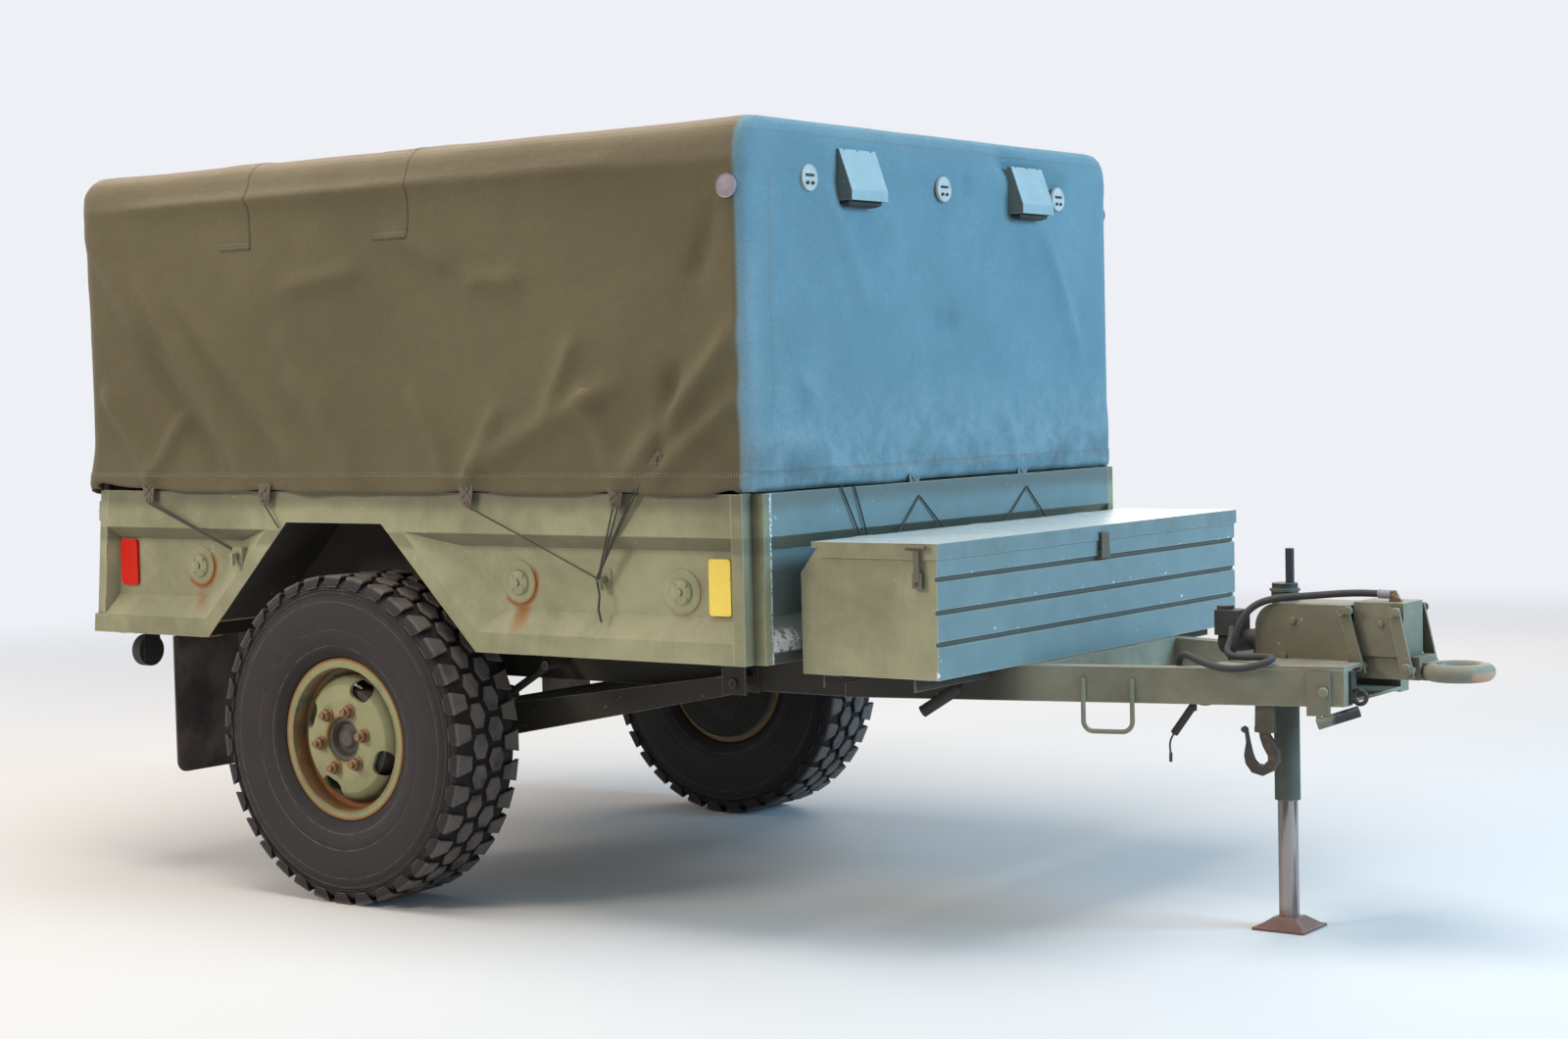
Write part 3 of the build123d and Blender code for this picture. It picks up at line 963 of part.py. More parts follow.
def cord(name, points, radius):
    """A cord's plain tube: straight runs joined by tangent arcs as large as the runs allow."""
    points = [Vector(*point) for point in points]
    radii = []
    for n in range(1, len(points) - 1):
        before, after = points[n] - points[n - 1], points[n + 1] - points[n]
        turn = math.radians(before.get_angle(after))
        radii.append(0.45 * min(before.length, after.length) / math.tan(turn / 2))
    path = FilletPolyline(*points, radius=radii)
    tube = sweep(Plane(origin=points[0], z_dir=path % 0) * Circle(radius), path)
    print(name, "radii", [round(bend) for bend in radii], "length", round(path.length),
          "volume share", round(tube.volume / (math.pi * radius**2 * path.length), 4))
    save(name, tube)


def save_jack():
    bottom, top = JACK_TUBE_BOTTOM, HEAD_TOP
    tube = rod((JACK_X, 0, bottom), (JACK_X, 0, top), JACK_TUBE_RADIUS)
    tube -= rod((JACK_X, 0, bottom - 1), (JACK_X, 0, top + 1), JACK_LEG_RADIUS + SEAT)
    cap_radius = 38.5
    cap = rod((JACK_X, 0, top), (JACK_X, 0, top + 26), cap_radius - 4)
    cap += rod((JACK_X, 0, top + 26), (JACK_X, 0, top + 32), cap_radius)
    cap += rod((JACK_X, 0, top + 32), (JACK_X, 0, top + 46), cap_radius - 6)
    cap += rod((JACK_X + 14, 0, top + 40), (JACK_X + 14, 0, top + 134), 11)
    save("jack_outer_tube", tube + cap)
    half = FOOT_SIDE / 2
    plate = block(JACK_X - half, JACK_X + half, -half, half, 0, FOOT_EDGE)
    crown = Pos(JACK_X, 0, FOOT_EDGE) * loft([Rectangle(FOOT_SIDE - 16, FOOT_SIDE - 16),
                                              Pos(0, 0, FOOT_RISE) * Rectangle(60, 60)])
    leg = rod((JACK_X, 0, FOOT_EDGE + FOOT_RISE - 4), (JACK_X, 0, JACK_LEG_TOP), JACK_LEG_RADIUS)
    save("jack_leg", plate + crown + leg)


os.makedirs("parts", exist_ok=True)
save_running_gear()
save_chassis()
save_body()
save_tailgate()
save_side_fittings()
save_canvas()
save_toolbox()
save_head()
save_drawbar_fittings()
save_jack()
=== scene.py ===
# %% [markdown]
# # A covered military cargo trailer
# The trailer is a pressed steel body on two large wheels, under a canvas cover on bows, with a toolbox
# and a drawbar ahead of it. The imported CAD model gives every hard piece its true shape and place.
# This script adds what a CAD model lacks: cloth, tread, nuts, cords, paint, rust and light.

# %% Load the frame
import contextlib
import math
import bmesh
import bpy
import numpy as np
from mathutils import Matrix, Vector, noise


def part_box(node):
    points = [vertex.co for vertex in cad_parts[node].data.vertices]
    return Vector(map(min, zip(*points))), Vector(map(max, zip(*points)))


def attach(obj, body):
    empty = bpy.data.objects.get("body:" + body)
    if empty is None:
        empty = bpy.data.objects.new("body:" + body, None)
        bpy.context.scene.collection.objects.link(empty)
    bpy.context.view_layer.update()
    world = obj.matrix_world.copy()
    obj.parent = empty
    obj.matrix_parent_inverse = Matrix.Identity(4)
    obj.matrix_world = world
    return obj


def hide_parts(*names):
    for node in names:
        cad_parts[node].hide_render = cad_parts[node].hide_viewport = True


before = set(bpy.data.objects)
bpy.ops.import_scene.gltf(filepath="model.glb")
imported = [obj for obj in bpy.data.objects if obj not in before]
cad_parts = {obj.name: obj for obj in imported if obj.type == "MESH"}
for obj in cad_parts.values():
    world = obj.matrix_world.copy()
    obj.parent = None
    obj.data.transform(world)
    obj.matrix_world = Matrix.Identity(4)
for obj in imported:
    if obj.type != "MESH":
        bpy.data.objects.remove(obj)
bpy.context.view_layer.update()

# %% [markdown]
# ## One place to measure from
# The photograph was measured from the middle of the axle, along the ground. Adding AXLE to such a
# distance gives the place in the model, so one helper turns a measured point into a scene point.

# %% Measure from the axle
AXLE = sum(corner[0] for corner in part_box("axle_beam")) / 2
WHEEL_HEIGHT = 0.4575
TRACK = 1.75
LEFT = Matrix.Scale(-1, 4, (0, 1, 0))


def at(x, y, z):
    """A point given by its distance ahead of the axle, to the left and above the ground."""
    return Vector((x + AXLE, y, z))


print("axle at", round(AXLE, 4))

# %% [markdown]
# ## The camera
# The picture was taken from ahead of the trailer's right side at about head height, with a short
# telephoto lens. The place and the turn were found by laying the model's edges over the picture's.
# A camera looks along its own minus Z, so its axes are built from the view direction.

# %% Place the camera
yaw, pitch, roll = 2.19972, -0.050789, -0.023348
ahead = Vector((math.cos(yaw) * math.cos(pitch), math.sin(yaw) * math.cos(pitch), math.sin(pitch)))
level_right = ahead.cross(Vector((0, 0, 1))).normalized()
level_up = level_right.cross(ahead)
right = math.cos(roll) * level_right + math.sin(roll) * level_up
up = -math.sin(roll) * level_right + math.cos(roll) * level_up

camera_data = bpy.data.cameras.new("camera")
camera_data.lens = 59.6122
camera_data.sensor_width = 36
camera = bpy.data.objects.new("camera", camera_data)
turn = Matrix((right, up, -ahead)).transposed().to_4x4()
camera.matrix_world = Matrix.Translation(at(5.21887, -6.044038, 1.404542)) @ turn
bpy.context.scene.collection.objects.link(camera)
bpy.context.scene.camera = camera
print("camera at", [round(value, 3) for value in camera.location])

# %% [markdown]
# ## The cords
# Two cords hang free on this trailer. The black electric cable leaves the drawbar link, drops behind
# the housing, makes a loop round the right beam and ends in its plug. The brake pull cable is a
# short steel wire under the beam. A smooth curve through a few control points hangs like real cable,
# which straight runs with rounded corners wouldn't, so each cord is one curve with a round bevel.

# %% Make a hanging cord from its control points
# Blender's bounding box counts each point's radius, which is 1 m unless it is made small.
KNOT_RADIUS = 0.01


def hang_cord(name, points_mm, radius):
    curve = bpy.data.curves.new(name, "CURVE")
    curve.dimensions = "3D"
    line = curve.splines.new("NURBS")
    line.points.add(len(points_mm) - 1)
    for knot, (x, y, z) in zip(line.points, points_mm):
        knot.co = (*at(x / 1000, y / 1000, z / 1000), 1)
        knot.radius = KNOT_RADIUS
    line.order_u = 3
    line.use_endpoint_u = True
    line.resolution_u = 8
    curve.bevel_depth = radius / KNOT_RADIUS
    curve.bevel_resolution = 4
    curve.use_fill_caps = True
    cord = bpy.data.objects.new(name, curve)
    bpy.context.scene.collection.objects.link(cord)
    return cord


print("knots of radius", KNOT_RADIUS)

# %% Hang the electric cable and the brake pull cable
cable_route = (
    (2664, -20, 862), (2616, -23, 864), (2556, -32, 862), (2500, -44, 857), (2446, -60, 853),
    (2394, -78, 849), (2348, -96, 834), (2318, -110, 800), (2302, -117, 752), (2294, -121, 704),
    (2289, -126, 656), (2280, -140, 612), (2258, -168, 588), (2232, -205, 596), (2218, -238, 628),
    (2213, -247, 674), (2220, -262, 712), (2252, -290, 724), (2300, -302, 706), (2352, -296, 692),
    (2404, -281, 692), (2446, -262, 704), (2462, -236, 714), (2444, -212, 716), (2404, -204, 714),
    (2362, -200, 711), (2318, -182, 711), (2292, -146, 722), (2286, -104, 744), (2270, -69, 768))
pull_route = ((2207, -270, 521), (2198, -270, 509), (2194, -271, 491), (2196, -270, 470), (2196, -270, 448))
electric_cable = hang_cord("hanging_electric_cable", cable_route, 0.009)
pull_cable = hang_cord("hanging_pull_cable", pull_route, 0.0025)
for cord, node in ((electric_cable, "electric_cable"), (pull_cable, "brake_pull_cable")):
    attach(cord, "chassis")
    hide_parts(node)
print("cords", electric_cable.name, pull_cable.name)

# %% [markdown]
# ## Expressions that build shader nodes
# A painted surface needs masks such as "where the edge is worn and the noise is high". Wiring those
# node by node is slow to read, so a small class wraps a socket, and + - * on it add Math nodes. A
# finish is a material that owns its nodes and offers noise, edges and corners by name.

# %% A number in a shader
class Number:
    """A socket that carries a number or a vector, for use in sums."""

    def __init__(self, finish, socket):
        self.finish, self.socket = finish, socket

    def maths(self, operation, *values):
        return self.finish.node("Math", {"operation": operation}, dict(enumerate(values)))

    def ramp(self, low, high):
        """0 up to low and 1 from high on, with a soft step between; high may be the smaller one."""
        return self.finish.node("MapRange", {"interpolation_type": "SMOOTHSTEP"},
                                {"Value": self, "From Min": low, "From Max": high})

    __add__ = __radd__ = lambda self, other: self.maths("ADD", self, other)
    __mul__ = __rmul__ = lambda self, other: self.maths("MULTIPLY", self, other)
    __sub__ = lambda self, other: self.maths("SUBTRACT", self, other)
    __rsub__ = lambda self, other: self.maths("SUBTRACT", other, self)
    __pow__ = lambda self, other: self.maths("POWER", self, other)
    __abs__ = lambda self: self.maths("ABSOLUTE", self)
    largest = lambda self, other: self.maths("MAXIMUM", self, other)
    sine = lambda self: self.maths("SINE", self)


print("numbers add, subtract, multiply and more")

# %% A finish, which is a material with named helpers
class Finish:
    """A Principled material whose colour, roughness and bump are worked out by nodes."""

    def __init__(self, name, tree=None):
        self.tree = tree
        if tree is None:
            self.material = bpy.data.materials.new(name)
            self.material.use_nodes = True
            self.tree = self.material.node_tree
            self.shader = self.tree.nodes["Principled BSDF"]
            self.x, self.y, self.z = self.axes(self.place())

    def put(self, socket, value):
        """Links a Number to a socket, or sets a plain value. A colour is given without its alpha."""
        if isinstance(value, Number):
            self.tree.links.new(value.socket, socket)
        else:
            socket.default_value = (*value, 1) if socket.type == "RGBA" else value

    def node(self, kind, settings=None, inputs=None, output=0):
        made = self.tree.nodes.new("ShaderNode" + kind)
        for name, value in (settings or {}).items():
            setattr(made, name, value)
        for name, value in (inputs or {}).items():
            self.put(made.inputs[name], value)
        return Number(self, made.outputs[output])

    def place(self, stretch=None):
        spot = self.node("TexCoord", output=3)
        return self.node("Mapping", inputs={"Vector": spot, "Scale": stretch}) if stretch else spot

    def noise(self, scale, detail=4, rough=0.55, stretch=None):
        return self.node("TexNoise", inputs={"Vector": self.place(stretch), "Scale": scale, "Detail": detail,
                                             "Roughness": rough})

    def axes(self, vector):
        parted = self.node("SeparateXYZ", inputs={"Vector": vector}).socket.node
        return [Number(self, socket) for socket in parted.outputs]

    def ahead(self, start, full):
        """0 behind start and 1 ahead of full, both measured from the axle."""
        return self.x.ramp(AXLE + start, AXLE + full)

    def away(self, along=0.0, height=WHEEL_HEIGHT):
        """How far each spot is ahead of a point on the side, above it, and away from it."""
        dx, dz = self.x - (along + AXLE), self.z - height
        return dx, dz, (dx * dx + dz * dz) ** 0.5

    def mix(self, share, first, second):
        """A colour between two, by a share from 0 to 1."""
        return self.node("Mix", {"data_type": "RGBA"}, {0: share, 6: first, 7: second}, 2)

    def worn_edge(self, reach):
        """1 on a sharp edge and 0 on the flat, out to reach from the edge."""
        rounded = self.node("Bevel", {"samples": 4}, {"Radius": reach})
        sharp = self.node("NewGeometry", output=1)
        alike = self.node("VectorMath", {"operation": "DOT_PRODUCT"}, {0: rounded, 1: sharp}, 1)
        return alike.ramp(0.995, 0.80)

    def shade_in(self, reach):
        """1 in the open and less in a corner, within reach."""
        return self.node("AmbientOcclusion", {"samples": 4, "only_local": True}, {"Distance": reach}, 1)

    def surface(self, colour, roughness, height=None, depth=0.001, metal=0.0, coat=0.0):
        inputs = self.shader.inputs
        for name, value in (("Base Color", colour), ("Roughness", roughness), ("Metallic", metal),
                            ("Coat Weight", coat), ("Coat Roughness", 0.1)):
            self.put(inputs[name], value)
        if height is not None:
            bump = self.node("Bump", inputs={"Height": height, "Distance": depth, "Strength": 1.0})
            self.put(inputs["Normal"], bump)
        return self.material


def scaled(colour, share, lift=0.0):
    return [min(1, part * share + lift) for part in colour]


def paint_nodes(names, material):
    """Gives the CAD nodes with these names a finish in place of their plain one."""
    for name in names.split():
        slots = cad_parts[name].data.materials
        for index in range(len(slots)):
            slots[index] = material


print("shader helpers ready")

# %% [markdown]
# ## The light
# A plain studio: a neutral sky all round, a large lamp overhead, a warm soft one on the right side and
# a cool soft one on the front, because the hall's daylight reaches the front of the trailer. The sky
# that lights the trailer is dimmer than the pale one that the camera and the gloss see. Two weaker
# lamps light the left side and the rear, which the photograph doesn't show.

# %% Light the studio
SKY = (0.93, 0.95, 1.0)
world = bpy.data.worlds.new("studio")
world.use_nodes = True
bpy.context.scene.world = world
sky = Finish("sky", world.node_tree)
camera_ray, gloss_ray, clear_ray = (sky.node("LightPath", output=index) for index in (0, 3, 6))
background = world.node_tree.nodes["Background"]
sky.put(background.inputs["Color"], SKY)
sky.put(background.inputs["Strength"], 0.26 + camera_ray.largest(gloss_ray).largest(clear_ray) * 0.66)


def soft_lamp(name, place, size, power, colour):
    data = bpy.data.lights.new(name, "AREA")
    data.shape = "RECTANGLE"
    data.size, data.size_y = size
    data.energy = power
    data.color = colour
    lamp = bpy.data.objects.new(name, data)
    lamp.location = at(*place)
    lamp.rotation_euler = (at(0.6, 0, 1.0) - lamp.location).to_track_quat("-Z", "Y").to_euler()
    bpy.context.scene.collection.objects.link(lamp)


soft_lamp("overhead_lamp", (0.4, -1.0, 6.4), (4.5, 3.5), 340, (1.0, 0.96, 0.90))
soft_lamp("side_lamp", (-3.0, -7.0, 4.6), (2.6, 1.8), 300, (1.0, 0.90, 0.74))
soft_lamp("front_lamp", (8.2, 1.6, 3.6), (4.0, 3.0), 640, (0.33, 0.67, 0.98))
soft_lamp("left_lamp", (-0.5, 7.5, 4.2), (5, 3), 240, (1.0, 0.95, 0.88))
soft_lamp("rear_lamp", (-8.0, 0, 3.6), (4, 3), 220, (0.95, 0.97, 1.0))
bpy.context.scene.view_settings.view_transform = "Standard"
print("lamps", [lamp.name for lamp in bpy.data.lights])

# %% Lay the floor, which fades into the sky far off
bpy.ops.object.select_all(action="DESELECT")
bpy.ops.mesh.primitive_plane_add(size=60, location=(0, 0, 0))
floor = bpy.context.object
floor.name = "studio_floor"
pale = Finish("pale_floor")
far_off = ((pale.x * pale.x + pale.y * pale.y) ** 0.5).ramp(4.0, 11.0) * pale.node("LightPath", output=0)
floor.data.materials.append(pale.surface((0.66, 0.635, 0.62), 0.9))
glow = pale.node("Emission", inputs={"Color": SKY, "Strength": 0.92})
fade = pale.node("MixShader", inputs={0: far_off, 1: Number(pale, pale.shader.outputs[0]), 2: glow})
pale.put(pale.tree.nodes["Material Output"].inputs["Surface"], fade)
print("lit")

# %% [markdown]
# ## Helpers for modelling by hand
# Blender's operators act on what is selected, so every step starts with nothing selected and then
# picks faces by their place or direction. These helpers keep the later steps short.

# %% Add a primitive
SIDEWAYS = (math.pi / 2, 0, 0)


def deselect_all():
    if bpy.context.mode != "OBJECT":
        bpy.ops.object.mode_set(mode="OBJECT")
    bpy.ops.object.select_all(action="DESELECT")


def take(piece):
    deselect_all()
    bpy.context.view_layer.objects.active = piece
    piece.select_set(True)


def fresh(name):
    """Names the primitive that was just added, and moves its place into its mesh."""
    piece = bpy.context.object
    piece.name = piece.data.name = name
    bpy.ops.object.transform_apply(location=True, rotation=True, scale=True)
    return piece


def block(name, middle, size):
    deselect_all()
    bpy.ops.mesh.primitive_cube_add(size=1, location=middle, scale=size)
    return fresh(name)


def aim(direction):
    """The turn that points an upright primitive along a direction."""
    return Vector(direction).to_track_quat("Z", "Y").to_euler()


def cylinder(name, middle, radius, depth, sides, turn=SIDEWAYS):
    deselect_all()
    bpy.ops.mesh.primitive_cylinder_add(vertices=sides, radius=radius, depth=depth, location=middle,
                                        rotation=turn)
    return fresh(name)


def rod_between(start, end, radius, name="lace", sides=8):
    """A thin round rod from one point to another."""
    run = end - start
    return cylinder(name, (start + end) / 2, radius, run.length + radius, sides, aim(run))


print("primitives ready")

# %% Pick, shape and finish
@contextlib.contextmanager
def editing(piece):
    take(piece)
    bpy.ops.object.mode_set(mode="EDIT")
    bpy.ops.mesh.select_all(action="DESELECT")
    yield
    bpy.ops.object.mode_set(mode="OBJECT")


def pick(piece, faces, wanted):
    """In edit mode, selects only the faces, or else only the edges, for which wanted holds."""
    bpy.ops.mesh.select_all(action="DESELECT")
    bpy.context.tool_settings.mesh_select_mode = (False, not faces, faces)
    mesh = bmesh.from_edit_mesh(piece.data)
    for part in mesh.faces if faces else mesh.edges:
        facts = (part.calc_center_median(), part.normal) if faces else [end.co for end in part.verts]
        if wanted(*facts):
            part.select_set(True)
    bmesh.update_edit_mesh(piece.data)


def pick_faces(piece, wanted):
    """Selects the faces for which wanted(middle, normal) holds."""
    pick(piece, True, wanted)


def pick_edges(piece, wanted):
    """Selects the edges for which wanted(one end, other end) holds."""
    pick(piece, False, wanted)


OUT_RIGHT, DOWN = (0, -1, 0), (0, 0, -1)


def pick_facing(piece, direction):
    """Selects the faces that look along a direction."""
    pick_faces(piece, lambda middle, normal: normal.dot(Vector(direction)) > 0.9)


def pick_everything():
    bpy.ops.mesh.select_all(action="SELECT")


def shift(*way):
    bpy.ops.transform.translate(value=way)


def stretch(*shares):
    bpy.ops.transform.resize(value=shares)


def extrude(*way):
    bpy.ops.mesh.extrude_region_move(TRANSFORM_OT_translate={"value": way})


def inset(thickness, *way):
    """Insets the picked faces, and then moves the inner ones if a way is given."""
    bpy.ops.mesh.inset(thickness=thickness)
    if way:
        shift(*way)


def bevel(offset, segments=2, profile=0.5):
    bpy.ops.mesh.bevel(offset=offset, segments=segments, profile=profile, affect="EDGES")


def bevel_edges(piece, wanted, offset, segments=2):
    with editing(piece):
        pick_edges(piece, wanted)
        bevel(offset, segments)


def smooth_by_angle(piece):
    take(piece)
    bpy.ops.object.shade_smooth_by_angle(angle=math.radians(32))


def with_modifier(piece, kind, **settings):
    take(piece)
    modifier = piece.modifiers.new(kind.lower(), kind)
    for name, value in settings.items():
        setattr(modifier, name, value)
    bpy.ops.object.modifier_apply(modifier=modifier.name)


print("picking and shaping ready")

# %% Copy, join and mount
def copy_of(piece, name, move):
    """A copy with its own mesh, moved by a matrix. A mirrored one gets its faces turned back out."""
    twin = piece.copy()
    twin.data = piece.data.copy()
    twin.name = twin.data.name = name
    twin.data.transform(move)
    if move.determinant() < 0:
        twin.data.flip_normals()
    bpy.context.scene.collection.objects.link(twin)
    return twin


ORIGIN = Vector((0, 0, 0))


def spread(piece, places):
    """Copies of a piece that was modelled at the origin, one at each place. The model itself goes."""
    copies = [copy_of(piece, piece.name, Matrix.Translation(place)) for place in places]
    bpy.data.objects.remove(piece)
    return copies


def join(name, pieces):
    take(pieces[0])
    for piece in pieces:
        piece.select_set(True)
    if len(pieces) > 1:
        bpy.ops.object.join()
    pieces[0].name = pieces[0].data.name = name
    return pieces[0]


def mount(piece, material, body="chassis"):
    """Gives a finished piece its material and its body."""
    piece.data.materials.clear()
    piece.data.materials.append(material)
    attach(piece, body)
    return piece


def mount_pair(piece, material, body="chassis"):
    """Mounts a piece of the right side, and its mirror image on the left. Returns the latter."""
    left = copy_of(piece, piece.name.replace("right", "left"), LEFT)
    mount(piece, material, body)
    return mount(left, material, body.replace("right", "left"))


print("modelling helpers ready")

# %% [markdown]
# ## Old olive paint
# Army paint is matt and thick. It fades unevenly, holds dust on ledges, chips to a pale primer on
# edges, and rusts where water stands. One recipe with a few amounts serves the body, the chassis,
# the wheels and the toolbox, so they look like one vehicle that has aged in different ways.

# %% The recipe for worn paint
def between_posts(paint):
    return abs(paint.y).ramp(0.864, 0.858)


def worn_paint(name, colour, chips=0.5, rust=0.3, dust=0.4, gloss=0.5, rust_mask=None, front=None, top=None,
               scuffs=None, patches=()):
    """Masks take the finish; each patch is a mask and the colour that it brings."""
    paint = Finish(name)
    clouds = paint.noise(1.7, 5)
    paint.blotches = blotches = paint.noise(9.0, 6, 0.65)
    paint.grit = grit = paint.noise(120.0, 3)
    streaks = paint.noise(9.0, 4, stretch=(3.0, 3.0, 0.35))
    paint.facing = paint.axes(paint.node("NewGeometry", output=1))
    forward, up = paint.facing[0], paint.facing[2]
    dark = scaled(colour, 0.72)
    base = paint.mix((clouds + blotches * 0.6).ramp(0.55, 1.05), dark, scaled(colour, 1.22, 0.02))
    # Front-facing faces ahead of the posts get a bluer tone: painted daylight that falls on the front.
    if front is not None:
        cool = paint.mix(blotches.ramp(0.3, 0.7), scaled(front, 0.85), front)
        on_front = forward.ramp(0.55, 0.85) * paint.ahead(1.28, 1.30) * between_posts(paint)
        base = paint.mix(on_front, base, cool)
    # Upward faces get the top colour: a painted highlight of the light from above and a painted reflection of
    # the sky.
    if top is not None:
        base = paint.mix(up.ramp(0.80, 0.95), base, top)
    base = paint.mix(streaks.ramp(0.56, 0.75) * 0.30, base, dark)
    base = paint.mix(up.ramp(0.25, 0.9) * blotches.ramp(0.25, 0.75) * dust, base, (0.36, 0.32, 0.25))
    for patch, patch_colour in patches:
        base = paint.mix(patch(paint), base, patch_colour)
    # Corners and recesses darken towards near black: painted shade.
    open_air = paint.shade_in(0.050)
    base = paint.mix(open_air.ramp(0.90, 0.35) * 0.72, base, (0.035, 0.030, 0.022))
    edge = paint.worn_edge(0.004) * open_air.ramp(0.78, 0.92)
    worn = (edge + blotches * 0.55 + grit * 0.25).ramp(1.22 - chips * 0.45, 1.34 - chips * 0.35)
    specks = paint.noise(75.0, 2, 0.4).ramp(0.735 - chips * 0.02, 0.76) * blotches.ramp(0.5, 0.62)
    base = paint.mix(worn.largest(specks) * 0.85, base, (0.50, 0.47, 0.40))
    if scuffs is not None:
        base = paint.mix(scuffs(paint), base, (0.74, 0.76, 0.75))
    spots = (blotches + grit * 0.2 + edge * 0.35).ramp(1.02 - rust * 0.4, 1.12 - rust * 0.3)
    if rust_mask is not None:
        spots = spots.largest(rust_mask(paint))
    base = paint.mix(spots, base, paint.mix(grit, (0.17, 0.060, 0.016), (0.42, 0.165, 0.038)))
    rough = (1.0 - gloss * 0.75) + blotches * 0.25 - 0.12 + spots * 0.25
    height = grit * 0.12 + blotches * 0.5 - worn * 0.25 + spots * grit * 0.5
    return paint.surface(base, rough, height)


print("paint recipe ready")

# %% [markdown]
# ## Masks for rust, scuffs and painted shade
# Water stands behind the round fittings on the bed's side and runs down from them, so rust makes a
# ring at each one and a streak below it. Painted shade darkens the slope under the rail, the strip under
# the hem, the low sill in the toolbox's shadow and a step by the front posts' edges, and paint is scraped
# off at the front's corners. Each mask says how strongly that shows at each spot.

# %% Masks for the bed
POST_FRONT, POST_INNER = 1.384, 0.861
PANEL_FACE = (1.32, 1.34)
side_discs = ((-0.651, 0.922, 1.0), (0.598, 0.904, 0.9), (1.148, 0.893, 0.25))


def disc_rust(paint):
    total = 0.0
    for along, height, amount in side_discs:
        dx, dz, far = paint.away(along, height)
        below = (dz - dx * 0.7 + (paint.blotches - 0.5) * 0.10).ramp(0.02, -0.02)
        ring = abs(far - 0.060).ramp(0.012, 0.002) * below
        run = abs(dx - 0.01).ramp(0.040, 0.006) * dz.ramp(-0.055, -0.065)
        run = run * dz.ramp(-0.17, -0.06) * (paint.blotches + paint.grit * 0.15).ramp(0.52, 0.66)
        total = (ring.largest(run) * amount).largest(total)
    return total * abs(paint.y).ramp(0.86, 0.88)


def front_corner_scuffs(paint):
    """A scraped patch low on the front's right corner, and fine chips along the right post's edges."""
    y, z = paint.y, paint.z
    scrape, fine = paint.noise(55.0, 4, 0.7), paint.noise(150.0, 2, 0.5)
    corner = y.ramp(-0.735, -0.765) * y.ramp(-0.864, -0.858)
    corner = corner * z.ramp(0.806, 0.792) * z.ramp(0.742, 0.750) * paint.ahead(*PANEL_FACE)
    inner_edge = abs(y + POST_INNER).ramp(0.006, 0.002) * paint.ahead(1.36, 1.39)
    outer_edge = abs(paint.x - (AXLE + POST_FRONT)).ramp(0.010, 0.003) * y.ramp(-0.915, -0.922)
    chips = (inner_edge * fine.ramp(0.47, 0.52)).largest(outer_edge * fine.ramp(0.56, 0.60) * 0.8)
    loose = y.ramp(-0.815, -0.855) * between_posts(paint) * paint.ahead(*PANEL_FACE)
    loose = loose * scrape.ramp(0.66, 0.69) * z.ramp(0.92, 1.0)
    return (corner * scrape.ramp(0.44, 0.50)).largest(chips).largest(loose)


def painted_shade_under_rail(paint):
    """Painted shade on the down-facing slope below the top rail, on the sides and the ends."""
    return paint.z.ramp(0.982, 1.000) * paint.z.ramp(1.036, 1.030) * paint.facing[2].ramp(0.2, -0.1) * 0.55


def painted_shade_under_hem(paint):
    """Painted shade of the canvas on the strip just below its hem."""
    return (paint.z + paint.noise(5.0, 3) * 0.05).ramp(1.105, 1.150) * 0.55


# The low strip of the front panel between the posts: painted shadow of the toolbox.
def painted_sill_shadow(paint):
    return paint.z.ramp(0.748, 0.742) * paint.ahead(*PANEL_FACE) * between_posts(paint) * 0.85


# A darker band on the side by the front post's edge: painted shade of the narrow step there.
def post_edge(paint):
    edge = abs(paint.x - (AXLE + POST_FRONT)).ramp(0.012, 0.006) * abs(paint.y).ramp(0.915, 0.922)
    return edge * paint.noise(30.0, 4).ramp(0.35, 0.55) * 0.6


print("rust round", len(side_discs), "fittings on each side")

# %% Masks for the toolbox, the drawbar and the vents
box_grooves = (0.934, 0.853, 0.776)


def groove_chips(paint):
    """Small bright chips along the pressed grooves and the front corners of the toolbox."""
    near_groove = 0.0
    for groove in box_grooves:
        near_groove = abs(paint.z - groove - 0.012).ramp(0.020, 0.006).largest(near_groove)
    corner = abs(paint.y).ramp(0.770, 0.797) * paint.z.ramp(0.86, 0.72)
    speckle = paint.noise(62.0, 3, 0.6) + (near_groove * 0.08).largest(corner * 0.16)
    return speckle.ramp(0.745, 0.785) * paint.ahead(1.845, 1.850)


# Dark lines in the toolbox's pressed grooves: painted shade.
def in_grooves(paint):
    total = 0.0
    for groove in box_grooves:
        total = abs(paint.z - groove).ramp(0.007, 0.003).largest(total)
    return total * paint.ahead(1.83, 1.84) * abs(paint.facing[1]).ramp(0.5, 0.3) * 0.75


# Near black behind the toolbox's front edge: mud, and painted shade under the toolbox and the body.
def under_the_box(paint):
    return paint.ahead(1.93, 1.76) * 0.92


def black_grip(paint):
    return paint.z.ramp(0.872, 0.876)


def worn_tip(paint):
    tip = (paint.x + paint.noise(30.0, 3) * 0.03).ramp(AXLE + 2.910, AXLE + 2.918)
    return tip * paint.z.ramp(0.684, 0.676)


# The vent hoods' undersides go near black: painted shade.
def vent_underside(paint):
    return paint.facing[2].ramp(-0.15, -0.45) * 0.95


# The hoods' cheeks go dark teal: painted shade.
def vent_cheek(paint):
    return abs(paint.facing[1]).ramp(0.5, 0.8) * 0.95


print("grooves at", box_grooves)

# %% Paint the body, the toolbox and the chassis
# The second colour is the olive as the daylight on the front turns it: painted light for the front faces.
olive, olive_daylit_front = (0.280, 0.275, 0.160), (0.180, 0.245, 0.240)
